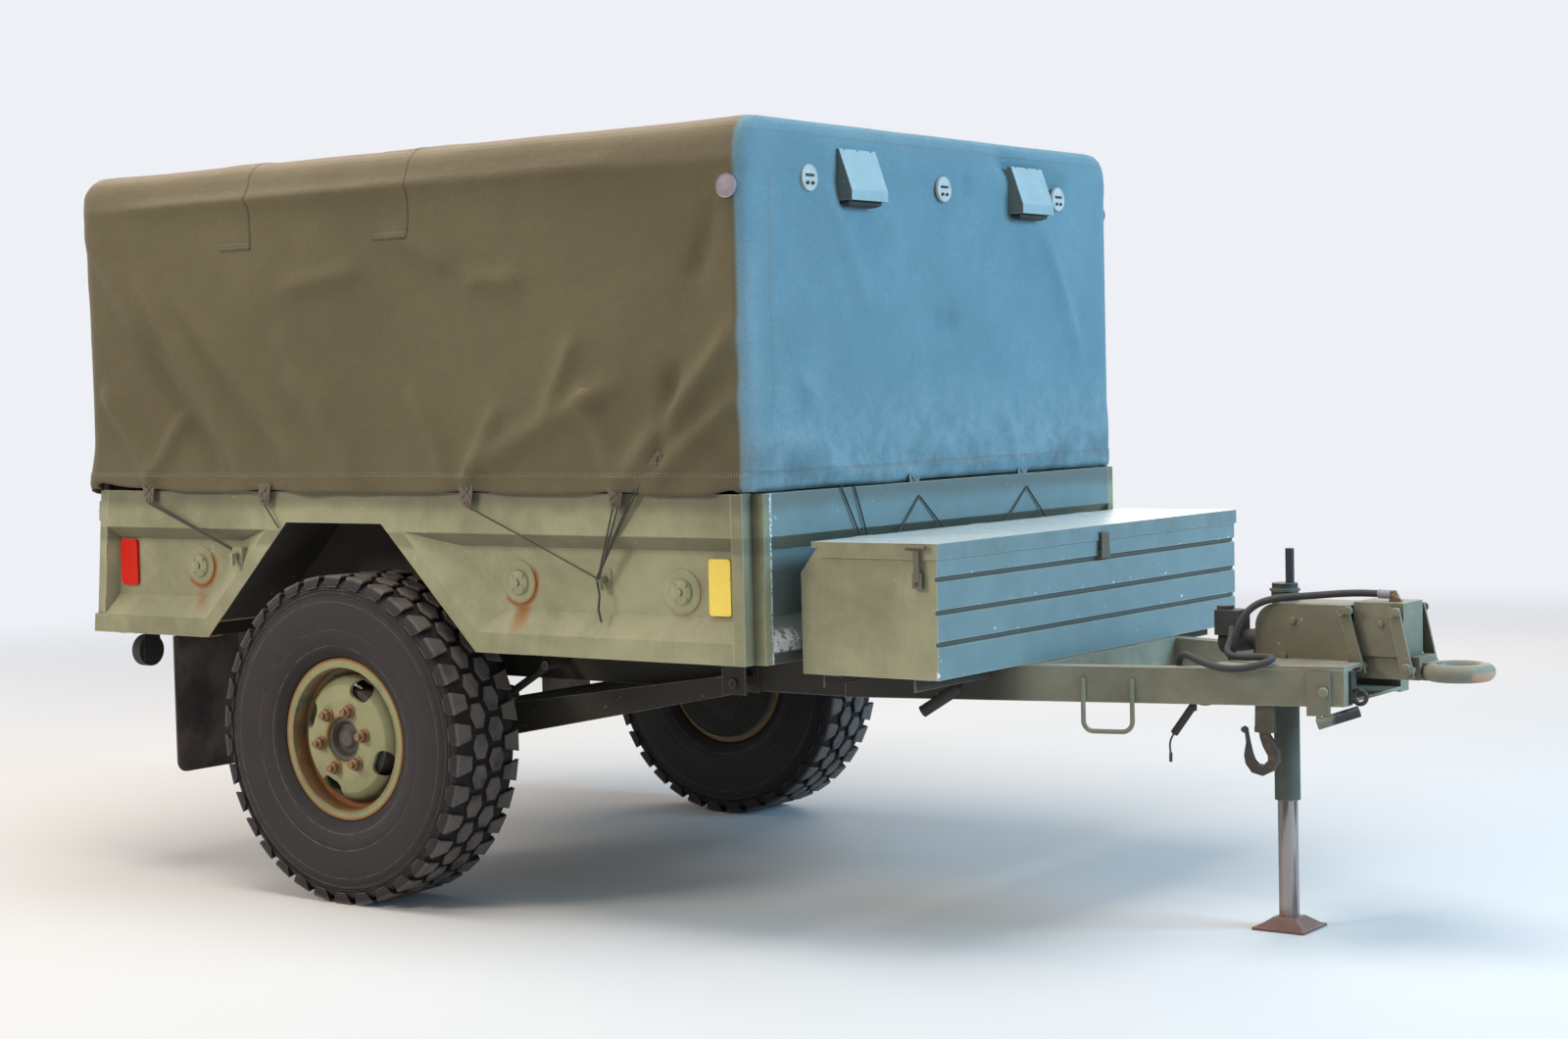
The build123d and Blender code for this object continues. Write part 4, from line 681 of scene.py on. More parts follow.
# The body: painted daylight on its front, and patches of painted shade under the rail and the hem, on the
# sill and by the posts' edges.
body_paint = worn_paint("worn_body_paint", olive, 0.45, 0.15, 0.5, 0.45, disc_rust, olive_daylit_front,
                        scuffs=front_corner_scuffs,
                        patches=((painted_shade_under_rail, (0.075, 0.066, 0.044)), (painted_shade_under_hem, (0.085, 0.076, 0.050)),
                                 (painted_sill_shadow, (0.060, 0.045, 0.040)), (post_edge, (0.120, 0.110, 0.105))))
# Near black: mud in the wheel housings, and painted shade there and on the shields behind the hand holes.
housing_paint = worn_paint("muddy_shaded_housing_finish", (0.022, 0.018, 0.015), 0.0, 0.1, 0.2, 0.2)
# The vents: painted daylight on their fronts, painted shade on their cheeks and undersides.
vent_paint = worn_paint("vent_paint_with_painted_light", (0.30, 0.34, 0.30), 0.4, 0.1, 0.3, 0.5, None, (0.32, 0.42, 0.43),
                        patches=((vent_cheek, (0.070, 0.105, 0.105)),
                                 (vent_underside, (0.012, 0.014, 0.015))))
# The toolbox: painted daylight on its front and painted shade in its grooves.
box_paint = worn_paint("worn_toolbox_paint", olive, 0.40, 0.08, 0.6, 0.6, None, olive_daylit_front,
                       scuffs=groove_chips, patches=((in_grooves, (0.030, 0.040, 0.040)),))
# The lid: a pale top colour that is a painted highlight and sky reflection, and painted daylight on its
# front.
lid_paint = worn_paint("worn_lid_paint", olive, 0.40, 0.06, 0.15, 0.95, None, olive_daylit_front, (0.56, 0.60, 0.57))
# The chassis darkens behind the toolbox's front: mud and painted shade.
chassis_paint = worn_paint("worn_chassis_paint", (0.225, 0.210, 0.140), 0.3, 0.30, 0.5, 0.35,
                           patches=((under_the_box, (0.024, 0.020, 0.017)),))
head_paint = worn_paint("worn_coupling_paint", (0.200, 0.180, 0.118), 0.45, 0.32, 0.35, 0.4)
jack_paint = worn_paint("worn_jack_paint", (0.058, 0.064, 0.046), 0.25, 0.15, 0.3, 0.5,
                        patches=((black_grip, (0.012, 0.012, 0.014)),))
paint_nodes("side_panel_right side_panel_left front_panel corner_posts tailgate tailgate_fittings "
            "side_fittings floor_panel", body_paint)
paint_nodes("wheel_housings", housing_paint)
paint_nodes("canvas_vents", vent_paint)
paint_nodes("toolbox_body toolbox_hinges", box_paint)
paint_nodes("toolbox_lid", lid_paint)
paint_nodes("side_rails cross_members floor_bearers drawbar_beam_right drawbar_beam_left drawbar_ties "
            "grab_loops axle_beam trailing_arms shock_absorbers canvas_bows", chassis_paint)
paint_nodes("coupling_housing drawbar_link", head_paint)
paint_nodes("jack_outer_tube", jack_paint)
print("painted body, toolbox and chassis")

# %% [markdown]
# ## Rusty wheels
# The rims were painted a yellower olive. Rust has eaten the thin lip, the bottom of the gutter and the
# edge of the disc, and shows round the nuts. All of these are rings, so the masks use the distance
# from the wheel's middle. An image could be painted instead, but a distance stays sharp at any size.

# %% Paint the rims and hubs
def rim_rust(paint):
    _, dz, far = paint.away()
    lip = far.ramp(0.2185, 0.2215)
    gutter = abs(far - 0.190).ramp(0.016, 0.004) * (paint.blotches - dz * 0.8).ramp(0.34, 0.56)
    middle_ring = abs(far - 0.064).ramp(0.010, 0.002) * paint.blotches.ramp(0.4, 0.6)
    return (lip * 0.9).largest(gutter * 0.8).largest(middle_ring * 0.8)


# Darker in the rim's deep gutter, strongest below the middle: painted shade.
def painted_gutter_shade(paint):
    _, dz, far = paint.away()
    return abs(far - 0.188).ramp(0.026, 0.006) * (paint.noise(14.0, 4) - dz * 0.6).ramp(0.30, 0.62) * 0.75


rim_paint = worn_paint("worn_rim_paint", (0.240, 0.240, 0.118), 0.15, 0.45, 0.15, 0.4, rim_rust,
                       patches=((painted_gutter_shade, (0.050, 0.036, 0.024)),))
hub_paint = worn_paint("worn_hub_paint", (0.060, 0.052, 0.042), 0.2, 0.4, 0.3, 0.4)
paint_nodes("rim_right rim_left", rim_paint)
paint_nodes("hub_right hub_left", hub_paint)
print("painted wheels")

# %% [markdown]
# ## Bare and worn metal
# The towing eye is polished by use where it bears, the jack's inner tube is bare and streaked, and the
# hook, the shackle and the latches are dark forged steel with rust in the hollows. A material for each
# would do, but one recipe with switches for streaks, paint and a rusty foot keeps them alike.

# %% The recipe for bare steel
def bare_steel(name, colour, rust, rough, streaky=False, painted=None, rust_below=None):
    """painted is (how far ahead paint begins, its colour); rust_below is the height of a rusty foot."""
    steel = Finish(name)
    blotches, grit = steel.noise(16.0, 6, 0.65), steel.noise(170.0, 3)
    if streaky:
        lines, hollow = steel.noise(52.0, 4, stretch=(1.0, 1.0, 0.05)).ramp(0.36, 0.50), 0.30
    else:
        lines, hollow = steel.noise(60.0, 3), 0.6
    base = steel.mix(lines, scaled(colour, hollow), colour)
    spots = (blotches + grit * 0.3).ramp(0.98 - rust * 0.5, 1.12 - rust * 0.4)
    base = steel.mix(spots, base, steel.mix(grit, (0.10, 0.045, 0.022), (0.30, 0.14, 0.065)))
    base = steel.mix(steel.worn_edge(0.004) * 0.35, base, (0.45, 0.43, 0.40))
    if rust_below is not None:
        foot = (steel.z + blotches * 0.05).ramp(rust_below + 0.05, rust_below + 0.01)
        base = steel.mix(foot, base, steel.mix(blotches, (0.105, 0.045, 0.032), (0.27, 0.135, 0.105)))
        spots = spots.largest(foot)
    if painted is not None:
        covered = (steel.x + (blotches - 0.5) * 0.03).ramp(painted[0] + AXLE + 0.012, painted[0] + AXLE)
        base = steel.mix(covered, base, painted[1])
        spots = spots.largest(covered)
    roughness = rough + spots * 0.25 + lines * 0.12
    return steel.surface(base, roughness, grit * 0.25 + spots * 0.2, 0.0008, (1.0 - spots) * 0.85)


print("steel recipe ready")

# %% Finish the eye, the jack's leg, the shackle and the latches
eye_steel = worn_paint("worn_eye_paint", (0.185, 0.172, 0.120), 0.55, 0.35, 0.3, 0.5,
                       patches=((worn_tip, (0.46, 0.25, 0.15)),))
tube_steel = bare_steel("streaked_tube_steel", (0.35, 0.30, 0.275), 0.35, 0.36, True, rust_below=0.035)
dark_steel = bare_steel("dark_forged_steel", (0.085, 0.075, 0.070), 0.5, 0.5)
shackle_steel = bare_steel("dark_shackle_steel", (0.075, 0.072, 0.070), 0.4, 0.42,
                           painted=(2.600, (0.185, 0.172, 0.115)))
latch_steel = bare_steel("old_latch_steel", (0.17, 0.155, 0.115), 0.62, 0.5)
orange_rust = bare_steel("orange_rusty_steel", (0.36, 0.21, 0.11), 0.55, 0.6)
for name, steel in (("towing_eye", eye_steel), ("jack_leg", tube_steel), ("safety_shackle", shackle_steel),
                    ("toolbox_latches", latch_steel)):
    paint_nodes(name, steel)
print("bare metal done")

# %% [markdown]
# ## Rubber, plastic and lenses
# The tyres are dusty black rubber, greyer and browner on the treads that touch the road. The lenses
# are clear coloured plastic over a ribbed back, red behind and amber ahead. The fine rings on the
# tyre's side could be modelled, but they are so low that a bump made from the distance will do.

# %% The recipe for dull rubber, cloth and plastic
def dull_rubber(name, colour, dust, dirt=0.6):
    rubber = Finish(name)
    clouds, grit = rubber.noise(7.0, 5), rubber.noise(210.0, 3)
    up = rubber.axes(rubber.node("NewGeometry", output=1))[2].ramp(0.1, 0.9)
    base = rubber.mix(clouds.ramp(0.35, 0.7) * dirt + up * dust, colour, (0.20, 0.165, 0.13))
    base = rubber.mix(rubber.worn_edge(0.005) * 0.25, base, (0.22, 0.19, 0.16))
    return rubber.surface(base, 0.62 + clouds * 0.25, grit, 0.0005)


def speckled_plastic(name, pale, dark, scale, rough, roughening=0.0):
    plastic = Finish(name)
    dirt = plastic.noise(scale, 4)
    if roughening:
        rough = rough + dirt * roughening
    return plastic.surface(plastic.mix(dirt, pale, dark), rough, dirt, 0.0004)


black_rubber = dull_rubber("dull_black_rubber", (0.026, 0.022, 0.023), 0.10, 0.15)
flap_rubber = dull_rubber("faded_flap_rubber", (0.040, 0.030, 0.031), 0.2)
plug_plastic = dull_rubber("black_plug_plastic", (0.020, 0.020, 0.021), 0.1, 0.15)
tab_cloth = dull_rubber("old_tab_cloth", (0.085, 0.076, 0.048), 0.2)
# The front tabs are the side tabs' cloth painted blue: painted daylight on the front.
daylit_front_tab_cloth = dull_rubber("blue_daylit_front_tabs", (0.130, 0.215, 0.245), 0.2)
black_cord_and_shade = dull_rubber("black_elastic_cord_and_painted_shade", (0.018, 0.017, 0.018), 0.05, 0.15)
webbing_cloth = dull_rubber("dirty_webbing", (0.062, 0.056, 0.034), 0.1)
pale_plastic = speckled_plastic("pale_plastic", (0.62, 0.60, 0.56), (0.40, 0.38, 0.35), 45.0, 0.45, 0.2)
grey_plastic = speckled_plastic("grey_purple_plastic", (0.34, 0.29, 0.34), (0.20, 0.165, 0.19), 60.0, 0.5)
paint_nodes("rubber_springs brake_pull_sleeve", black_rubber)
paint_nodes("mud_flaps", flap_rubber)
paint_nodes("trailer_plug tail_lights", plug_plastic)
electric_cable.data.materials.append(black_rubber)
pull_cable.data.materials.append(dark_steel)
print("rubber and plastic done")

# %% Recipe for the tyres
TREAD_TOP, SIDE_RING_RADII = 0.4545, (0.4275, 0.4188, 0.4088, 0.385, 0.3065, 0.262)
rubber = Finish("dusty_tyre_rubber")
far = rubber.away()[2]
mud, pits = rubber.noise(11.0, 6, 0.6), rubber.noise(160.0, 3)
tread_top = far.ramp(0.4465, TREAD_TOP)
base = rubber.mix(mud.ramp(0.40, 0.75) * 0.40, (0.017, 0.0125, 0.014), (0.046, 0.036, 0.036))
base = rubber.mix(tread_top * mud.ramp(0.2, 0.6) * 0.80, base, (0.165, 0.140, 0.122))
# The tread's floor between the blocks goes near black: painted shade.
in_groove = abs(abs(rubber.y) - TRACK / 2).ramp(0.116, 0.108) * far.ramp(TREAD_TOP, 0.4515)
base = rubber.mix(in_groove * 0.92, base, (0.006, 0.005, 0.005))
# Pale broken lines at the raised side rings, and paler crests of the fine rings: painted highlights on the
# rings' edges.
ring_line_breaks = rubber.noise(26.0, 5, 0.7).ramp(0.36, 0.58)
for ring in SIDE_RING_RADII:
    base = rubber.mix(abs(far - ring).ramp(0.0022, 0.0006) * ring_line_breaks * 0.42, base, (0.175, 0.145, 0.145))
rings = (far * 900.0).sine() * abs(far - 0.418).ramp(0.024, 0.012)
fine_rings = (far * 2400.0).sine() * far.ramp(0.30, 0.36) * 0.25
base = rubber.mix(rings.ramp(0.6, 1.0) * 0.35, base, (0.12, 0.098, 0.095))
base = rubber.mix(rubber.worn_edge(0.004) * 0.22, base, (0.13, 0.11, 0.10))
height = pits * 0.4 + mud * 0.4 + rings * 1.1 + fine_rings
tyre_rubber = rubber.surface(base, 0.62 + mud * 0.3, height, 0.0016)
print("side rings at", SIDE_RING_RADII)

# %% Recipe for the lenses
lens = Finish("lens_plastic")
ribs = (lens.z * 900.0).sine() * ((lens.x + lens.y) * 900.0).sine()
grime = lens.noise(60.0, 4)
tint = lens.mix(lens.ahead(-0.1, 0.1), (0.62, 0.012, 0.001), (1.0, 0.76, 0.15))
tint = lens.mix(grime.ramp(0.55, 0.8) * 0.22, tint, (0.35, 0.16, 0.07))
lens.shader.inputs["Specular IOR Level"].default_value = 0.2
lens_plastic = lens.surface(tint, 0.42 + grime * 0.1, ribs, 0.0002, coat=0.12)
paint_nodes("side_reflectors", lens_plastic)
print("tyre rubber and lenses done")

# %% [markdown]
# ## The canvas
# The cover is heavy waxed cotton. Its threads show as a fine grid, the creases and the strip above the
# hem hold dirt, and the roof is bleached and dusty. The strip above the shoulder's crease is painted
# lighter, a painted highlight of the light from above. The front end is painted bluer and paler than the
# sides, as painted daylight, with a painted highlight along its right corner. Rows of stitches run beside
# each seam. A picture of cloth would stretch over the folds, and noise and sine waves in space don't, so
# the whole finish is made of those.

# %% Recipe for the waxed canvas
THREAD, STITCH = 0.0022, 0.009


def stitch_row(across, place, along):
    """Dashes of thread on the line where the coordinate across equals place."""
    dash = (along * (6.2832 / STITCH)).sine().ramp(-0.3, 0.3)
    return abs(across - place).ramp(THREAD * 1.6, THREAD * 0.6) * dash


def stitch_rows(across, places, along):
    first, second = (stitch_row(across, place, along) for place in places)
    return first.largest(second)


cloth = Finish("waxed_canvas")
x, y, z = cloth.x, cloth.y, cloth.z
upward = cloth.axes(cloth.node("NewGeometry", output=3))[2]
clouds, stains, crumple = cloth.noise(1.3, 4), cloth.noise(5.5, 6, 0.62), cloth.noise(21.0, 5, 0.6)
hairs, dents = cloth.noise(260.0, 2), cloth.noise(7.5, 3, 0.5)
threads = ((x + y) * 1900.0).sine() * ((z + y * 0.7) * 1900.0).sine()
base = cloth.mix((clouds + stains * 0.4).ramp(0.45, 1.0), (0.118, 0.096, 0.049), (0.156, 0.130, 0.070))
# The front wall is painted blue for the daylight that falls on it. Low down it is paler where dust is rubbed
# in, and along its right corner it carries a painted highlight of grazing light; both keep the painted blue.
daylit_front_cloth = cloth.mix((stains + clouds * 0.5).ramp(0.5, 1.0), (0.172, 0.300, 0.345), (0.145, 0.262, 0.305))
rubbed = (z + (stains - 0.5) * 0.25).ramp(1.50, 1.20) * crumple.ramp(0.35, 0.65)
right_edge = (y + (stains - 0.5) * 0.06).ramp(-0.82, -0.90) * z.ramp(1.85, 1.60) * 0.7
daylit_front_cloth = cloth.mix((rubbed * 0.45).largest(right_edge * 0.5), daylit_front_cloth, (0.33, 0.40, 0.42))
# Upward faces are bleached, and the strip above the shoulder's crease is painted lighter: a painted highlight
# of light from above.
bleached = upward.ramp(0.55, 0.85) * stains.ramp(0.0, 0.5)
shoulder = (z + (stains - 0.5) * 0.03).ramp(1.958, 1.985) * 0.22
base = cloth.mix(bleached.largest(shoulder), base, (0.285, 0.228, 0.160))
on_front = cloth.ahead(1.358, 1.371)
base = cloth.mix(on_front, base, daylit_front_cloth)
base = cloth.mix(z.ramp(1.30, 1.16) * stains.ramp(0.42, 0.66) * 0.35, base, (0.070, 0.058, 0.040))
base = cloth.mix(hairs.ramp(0.35, 0.65) * 0.20, base, (0.045, 0.040, 0.028))
stitches = stitch_rows(z, (1.196, 1.188), x + y)
on_side = abs(y).ramp(0.90, 0.915) * cloth.ahead(-0.52, -0.49)
in_strips = abs(abs(x - (AXLE - 0.116)) - 0.309).ramp(0.068, 0.060)
stitches = stitches.largest(stitch_rows(z, (1.838, 1.848), x) * on_side * in_strips)
seam = stitch_rows(y, (-0.803, -0.811), z) * z.ramp(1.35, 1.37)
seam = (seam * z.ramp(1.94, 1.93)).largest(stitch_row(z, 2.044, y)) * on_front
stitches = stitches.largest(seam)
base = cloth.mix(stitches * 0.5, base, (0.30, 0.27, 0.20))
relief = threads * 0.05 + hairs * 0.10 + crumple * 0.60 + stitches * 0.3 + dents * 1.6
canvas = cloth.surface(base, 0.80 + stains * 0.12, relief, 0.006)
print("canvas finish done")

# %% [markdown]
# ## The cover's cloth
# The cover is one sheet drawn over four bows and laced down at the hem. It starts as a box with
# rounded shoulders, which a voxel remesh turns into even small faces. The open bottom is removed, and
# then each point moves along its own outward direction by the folds that pass near it. A fold is a
# line on a wall with a height and a width, found in the photograph from how light falls on it. A cloth
# simulation would fold the sheet too, but not where the photographed folds are.

# %% Start the cover from a rounded box
REAR, FRONT, HALF, HEM, ROOF = -1.103, 1.387, 0.925, 1.150, 2.080


def end_edge(a, b):
    """An edge that runs round the front or rear face, but not along its foot."""
    return abs(a.x - b.x) < 0.01 and (min(a.z, b.z) > ROOF - 0.12 or abs(a.z - b.z) > 0.5)


cover_middle = at((REAR + FRONT) / 2, 0, (HEM + ROOF) / 2)
cover = block("canvas_sheet", cover_middle, (FRONT - REAR, 2 * HALF, ROOF - HEM))
with editing(cover):
    pick_edges(cover, lambda a, b: min(a.z, b.z) > ROOF - 0.01 and abs(a.y - b.y) < 0.01)
    bevel(0.095, 3, 0.60)
    pick_edges(cover, lambda a, b: end_edge(a, b) and a.x > AXLE)
    bevel(0.028, 3)
    pick_edges(cover, lambda a, b: end_edge(a, b) and a.x < AXLE)
    bevel(0.050, 4)
with_modifier(cover, "REMESH", mode="VOXEL", voxel_size=0.0185, use_smooth_shade=True)
with editing(cover):
    pick_faces(cover, lambda middle, normal: middle.z < HEM + 0.012 and normal.z < -0.5)
    bpy.ops.mesh.delete(type="FACE")
print("cover", len(cover.data.polygons), "faces before folding")

# %% List the folds of the side wall and the front wall
# In millimetres ahead of the axle and above the ground. Each is x and z at one end, x and z at the
# other, the height out of the wall and the half width.
side_folds = (
    (-809, 1720, -378, 1202, 11, 30), (-644, 1680, -160, 1202, 9, 30), (-818, 1552, -505, 1202, -8, 30),
    (-250, 1569, -61, 1372, 7, 24), (-209, 1460, 51, 1202, 8, 28), (1106, 1241, 1161, 1442, -8, 22),
    (1017, 1202, 1380, 1558, 11, 30), (1319, 1870, 1242, 1695, -7, 24), (1104, 1202, 1385, 1390, 9, 26),
    (493, 1223, 936, 1407, 8, 28), (-228, 1718, 46, 1749, 6, 22), (485, 1709, 647, 1702, 6, 22),
    (196, 1846, 390, 1754, 6, 22), (263, 1409, 396, 1202, 8, 26), (741, 1361, 838, 1537, 7, 24),
    (-800, 1972, 140, 1976, 6, 14), (140, 1976, 950, 1985, 3, 14), (-1050, 1900, -830, 1600, 7, 30),
    (-1000, 1430, -800, 1202, 9, 28), (-660, 1360, -800, 1190, 8, 24), (980, 1190, 860, 1400, 8, 24),
    (466, 1190, 560, 1360, 7, 24))
# The same for the front wall, with y in place of x.
front_folds = (
    (-934, 1239, -777, 1280, 7, 24), (-777, 1280, -587, 1239, 7, 24), (-720, 1214, -289, 1173, 6, 22),
    (298, 2030, 629, 1967, -9, 26), (-47, 1568, 49, 1581, -6, 30), (474, 1203, 603, 1239, 6, 22),
    (-702, 1430, -633, 1370, 6, 22), (99, 1971, 133, 1921, -5, 20), (-190, 1160, -100, 1300, 6, 22),
    (375, 1160, 300, 1320, 6, 22), (-550, 1900, -400, 1620, 5, 28), (550, 1800, 720, 1500, 6, 28))
FOLD_DEPTH, FOLD_WIDTH = 2.8, 1.12
print("folds", len(side_folds), "on a side and", len(front_folds), "in front")

# %% Add up the folds that pass near each point
def share(value):
    return np.clip(value, 0, 1)


def soft(value):
    """A soft step from 0 to 1 as value goes from 0 to 1."""
    return share(value) ** 2 * (3 - 2 * share(value))


def fold_heights(across, height, folds):
    total = np.zeros_like(across)
    for fold in folds:
        x0, z0, x1, z1, rise, width = (number / 1000 for number in fold)
        dx, dz = x1 - x0, z1 - z0
        length = math.hypot(dx, dz)
        along = ((across - x0) * dx + (height - z0) * dz) / length ** 2
        beside = np.abs((across - x0) * dz - (height - z0) * dx) / length / FOLD_WIDTH
        taper = soft(np.minimum(along + 0.22, 1.22 - along) / 0.34)
        total += FOLD_DEPTH * rise * np.exp(-(beside / width) ** 2) * taper
    return total


def wander(points, scale, seed):
    offset = Vector((seed, seed * 0.37, -seed))
    return np.array([noise.noise(Vector(point) * scale + offset) for point in points])


def read_vertices(piece, what):
    values = np.empty(len(piece.data.vertices) * 3)
    piece.data.vertices.foreach_get(what, values)
    return values.reshape(-1, 3)


points, outward = read_vertices(cover, "co"), read_vertices(cover, "normal")
along, side, height = points[:, 0] - AXLE, points[:, 1], points[:, 2]
is_side, is_front, is_rear, is_roof = (share(facing * 1.4 - 0.2) for facing in (
    np.abs(outward[:, 1]), outward[:, 0], -outward[:, 0], outward[:, 2]))
rise = np.where(side < 0, fold_heights(along, height, side_folds),
                fold_heights(along * 0.96 + 0.05, height, side_folds) * 0.85) * is_side
rise *= share((1.380 - along) / 0.06)
rise += fold_heights(side, height, front_folds) * is_front * share((0.930 - np.abs(side)) / 0.06)
rise += fold_heights(-side, height, front_folds) * is_rear * 0.8
waves = wander(points, 3.1, 4.0) * 0.0045 + wander(points, 8.5, 9.0) * 0.0024
rise += waves * (is_side + is_front + is_rear)
rise += wander(points, 3.4, 2.0) * 0.0016 * is_roof
rise += 0.004 * share((height - 1.92) / 0.05)
print("folds from", round(float(rise.min()), 4), "to", round(float(rise.max()), 4))

# %% [markdown]
# ## Where the cloth rests
# The cloth can't move inward where a bow or a purlin carries it, and it sags a little between them.
# Near the hem it is pulled in at each lacing tab and bellies out between tabs, and at the rear corner
# the hem lifts to a point.

# %% Sag between the bows and shape the hem
bow_places = np.array((-1.036, -0.42, 0.33, 1.363))
purlins = np.array((-0.92, -0.56, 0.0, 0.56, 0.92))
tabs = np.array((-0.805, -0.312, 0.466, 0.982))


def free_share(values, carried):
    """0 at each carried place and 1 well away from all of them."""
    return soft(np.min(np.abs(values[:, None] - carried[None, :]), axis=1) / 0.16)


between_bows = free_share(along, bow_places)
rise = np.where(rise < 0, rise * np.where(is_side > 0.5, between_bows, 1.0), rise)
rise -= 0.007 * between_bows * free_share(side, purlins) * is_roof
rise -= 0.003 * between_bows * is_side * share((height - 1.3) / 0.3) * share((1.98 - height) / 0.2)
low = soft((1.30 - height) / 0.14)
belly = free_share(along, tabs)
over_rail = share((1.335 - along) / 0.06) * is_side
rise += low * over_rail * (0.0125 + 0.007 * belly)
moved = points + outward * rise[:, None]
corner = np.exp(-((along + 1.03) / 0.13) ** 2) * is_side
bottom = points[:, 2].min()
drop = (bottom - 1.146) * (1 - is_rear) + 0.014 * over_rail * (0.4 + 0.6 * belly) + (bottom - 1.128) * is_rear
moved[:, 2] -= low * (drop - 0.026 * corner)
cover.data.vertices.foreach_set("co", moved.reshape(-1))
cover.data.update()
with_modifier(cover, "SMOOTH", factor=0.5, iterations=1)
print("hem at", round(float(moved[:, 2].min()), 4), "roof at", round(float(moved[:, 2].max()), 4))

# %% [markdown]
# ## Sewn strips
# Two wide strips are sewn over the roof and a narrow one all round the hem. Each is a copy of the
# cover, cut by planes to its own width, puffed out by the thickness of the cloth and made thick.
# So a strip lies on every fold of the cloth below it.

# %% Cut a strip from a copy of the cover
def strip(name, cuts, lift):
    """cuts are (point, direction): what lies on the direction's side of each point is cut away."""
    band = copy_of(cover, name, Matrix())
    for point, direction in cuts:
        with editing(band):
            pick_everything()
            bpy.ops.mesh.bisect(plane_co=at(*point), plane_no=direction, clear_outer=True)
    with_modifier(band, "DISPLACE", strength=lift, mid_level=0.0)
    with_modifier(band, "SOLIDIFY", thickness=0.0009, offset=1.0)
    return mount(band, canvas)


def roof_strip(name, rear, front):
    behind, ahead_of = ((rear, 0, 0), (-1, 0, 0)), ((front, 0, 0), (1, 0, 0))
    return strip(name, (behind, ahead_of, ((0, 0, 1.83), (0, 0, -1))), 0.0002)


rear_strip = roof_strip("sewn_roof_strip_rear", -0.490, -0.360)
middle_strip = roof_strip("sewn_roof_strip_middle", 0.125, 0.262)
hem_strip = strip("sewn_hem_strip", (((0, 0, 1.196), (0, 0, 1)),), 0.001)
print("strips", [len(band.data.polygons) for band in (rear_strip, middle_strip, hem_strip)])

# %% Give the cover its thickness
with_modifier(cover, "SOLIDIFY", thickness=0.004, offset=-1.0)
take(cover)
bpy.ops.object.shade_smooth()
mount(cover, canvas)
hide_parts("canvas_cover")
print("cover", len(cover.data.polygons), "faces")

# %% [markdown]
# ## The tyres
# A tyre is a ring, so its outline is drawn once as a chain of points and spun round the axle. The
# outline has the bead, a bulging side with a few raised rings, and the floor of the tread. The tread
# is chunky: a row of thick shoulder blocks on each side and two rows of six-sided blocks between.

# %% Spin the tyre's wall
def drawn(name, start, chain):
    """A chain of edges: one vertex at the start, extruded from each place of the chain to the next."""
    deselect_all()
    bpy.ops.mesh.primitive_plane_add(size=0.01, location=start)
    piece = fresh(name)
    with editing(piece):
        bpy.context.tool_settings.mesh_select_mode = (True, False, False)
        pick_everything()
        bpy.ops.mesh.merge(type="CENTER")
        for here, there in zip(chain, chain[1:]):
            extrude(*(new - old for old, new in zip(here, there)))
    return piece


# Half of the tyre's outline, in tenths of a millimetre: out from its middle, and away from the axle.
half_outline = [
    (1040, 4445), (1120, 4410), (1175, 4340), (1195, 4280), (1165, 4265), (1222, 4195), (1192, 4180),
    (1244, 4095), (1214, 4080), (1260, 3950), (1270, 3750), (1275, 3500), (1268, 3250), (1250, 3070),
    (1226, 3055), (1238, 2960), (1205, 2780), (1150, 2600), (1080, 2460), (1030, 2380), (1000, 2320),
    (945, 2285), (905, 2275), (885, 2265), (885, 2068)]
tyre_chain = [(0, side * out / 10000, radius / 10000)
              for side, row in ((1, half_outline), (-1, half_outline[::-1])) for out, radius in row]
tyre_chain.append(tyre_chain[0])
wheel_middle = at(0, -TRACK / 2, WHEEL_HEIGHT)
tyre = drawn("tyre_right_rubber", wheel_middle + Vector(tyre_chain[0]), tyre_chain)
with editing(tyre):
    pick_everything()
    bpy.ops.mesh.spin(steps=136, angle=math.tau, center=wheel_middle, axis=(0, 1, 0))
    pick_everything()
    bpy.ops.mesh.remove_doubles(threshold=0.0002)
    bpy.ops.mesh.normals_make_consistent(inside=False)
print("tyre wall", len(tyre.data.polygons), "faces")

# %% Model one shoulder block and one centre block
LUGS, LUG_RADIUS, LUG_HEIGHT = 34, 0.4485, 0.018
SHOULDER_OUT, CENTRE_OUT = 0.0925, 0.0315


def bevel_tread_edges(piece, width):
    """Bevels the edges round a block's top, which is the face that meets the road."""
    top = wheel_middle.z + LUG_RADIUS + LUG_HEIGHT / 2
    bevel_edges(piece, lambda a, b: min(a.z, b.z) > top - 0.0025, width, 1)


shoulder_middle = wheel_middle + Vector((0, -SHOULDER_OUT, LUG_RADIUS))
shoulder_block = block("shoulder_block", shoulder_middle, (0.066, 0.054, LUG_HEIGHT))
with editing(shoulder_block):
    pick_facing(shoulder_block, OUT_RIGHT)
    extrude(0, -0.0065, -0.018)
    stretch(0.80, 1, 0.7)
    pick_facing(shoulder_block, (0, 1, 0))
    stretch(0.58, 1, 1)
bevel_tread_edges(shoulder_block, 0.0035)
centre_middle = wheel_middle + Vector((0, -CENTRE_OUT, LUG_RADIUS))
centre_block = cylinder("centre_block", centre_middle, 0.0320, LUG_HEIGHT, 6, (0, 0, 0))
with editing(centre_block):
    pick_everything()
    stretch(1.20, 0.92, 1)
bevel_tread_edges(centre_block, 0.003)
print("blocks", len(shoulder_block.data.polygons), "and", len(centre_block.data.polygons), "faces")


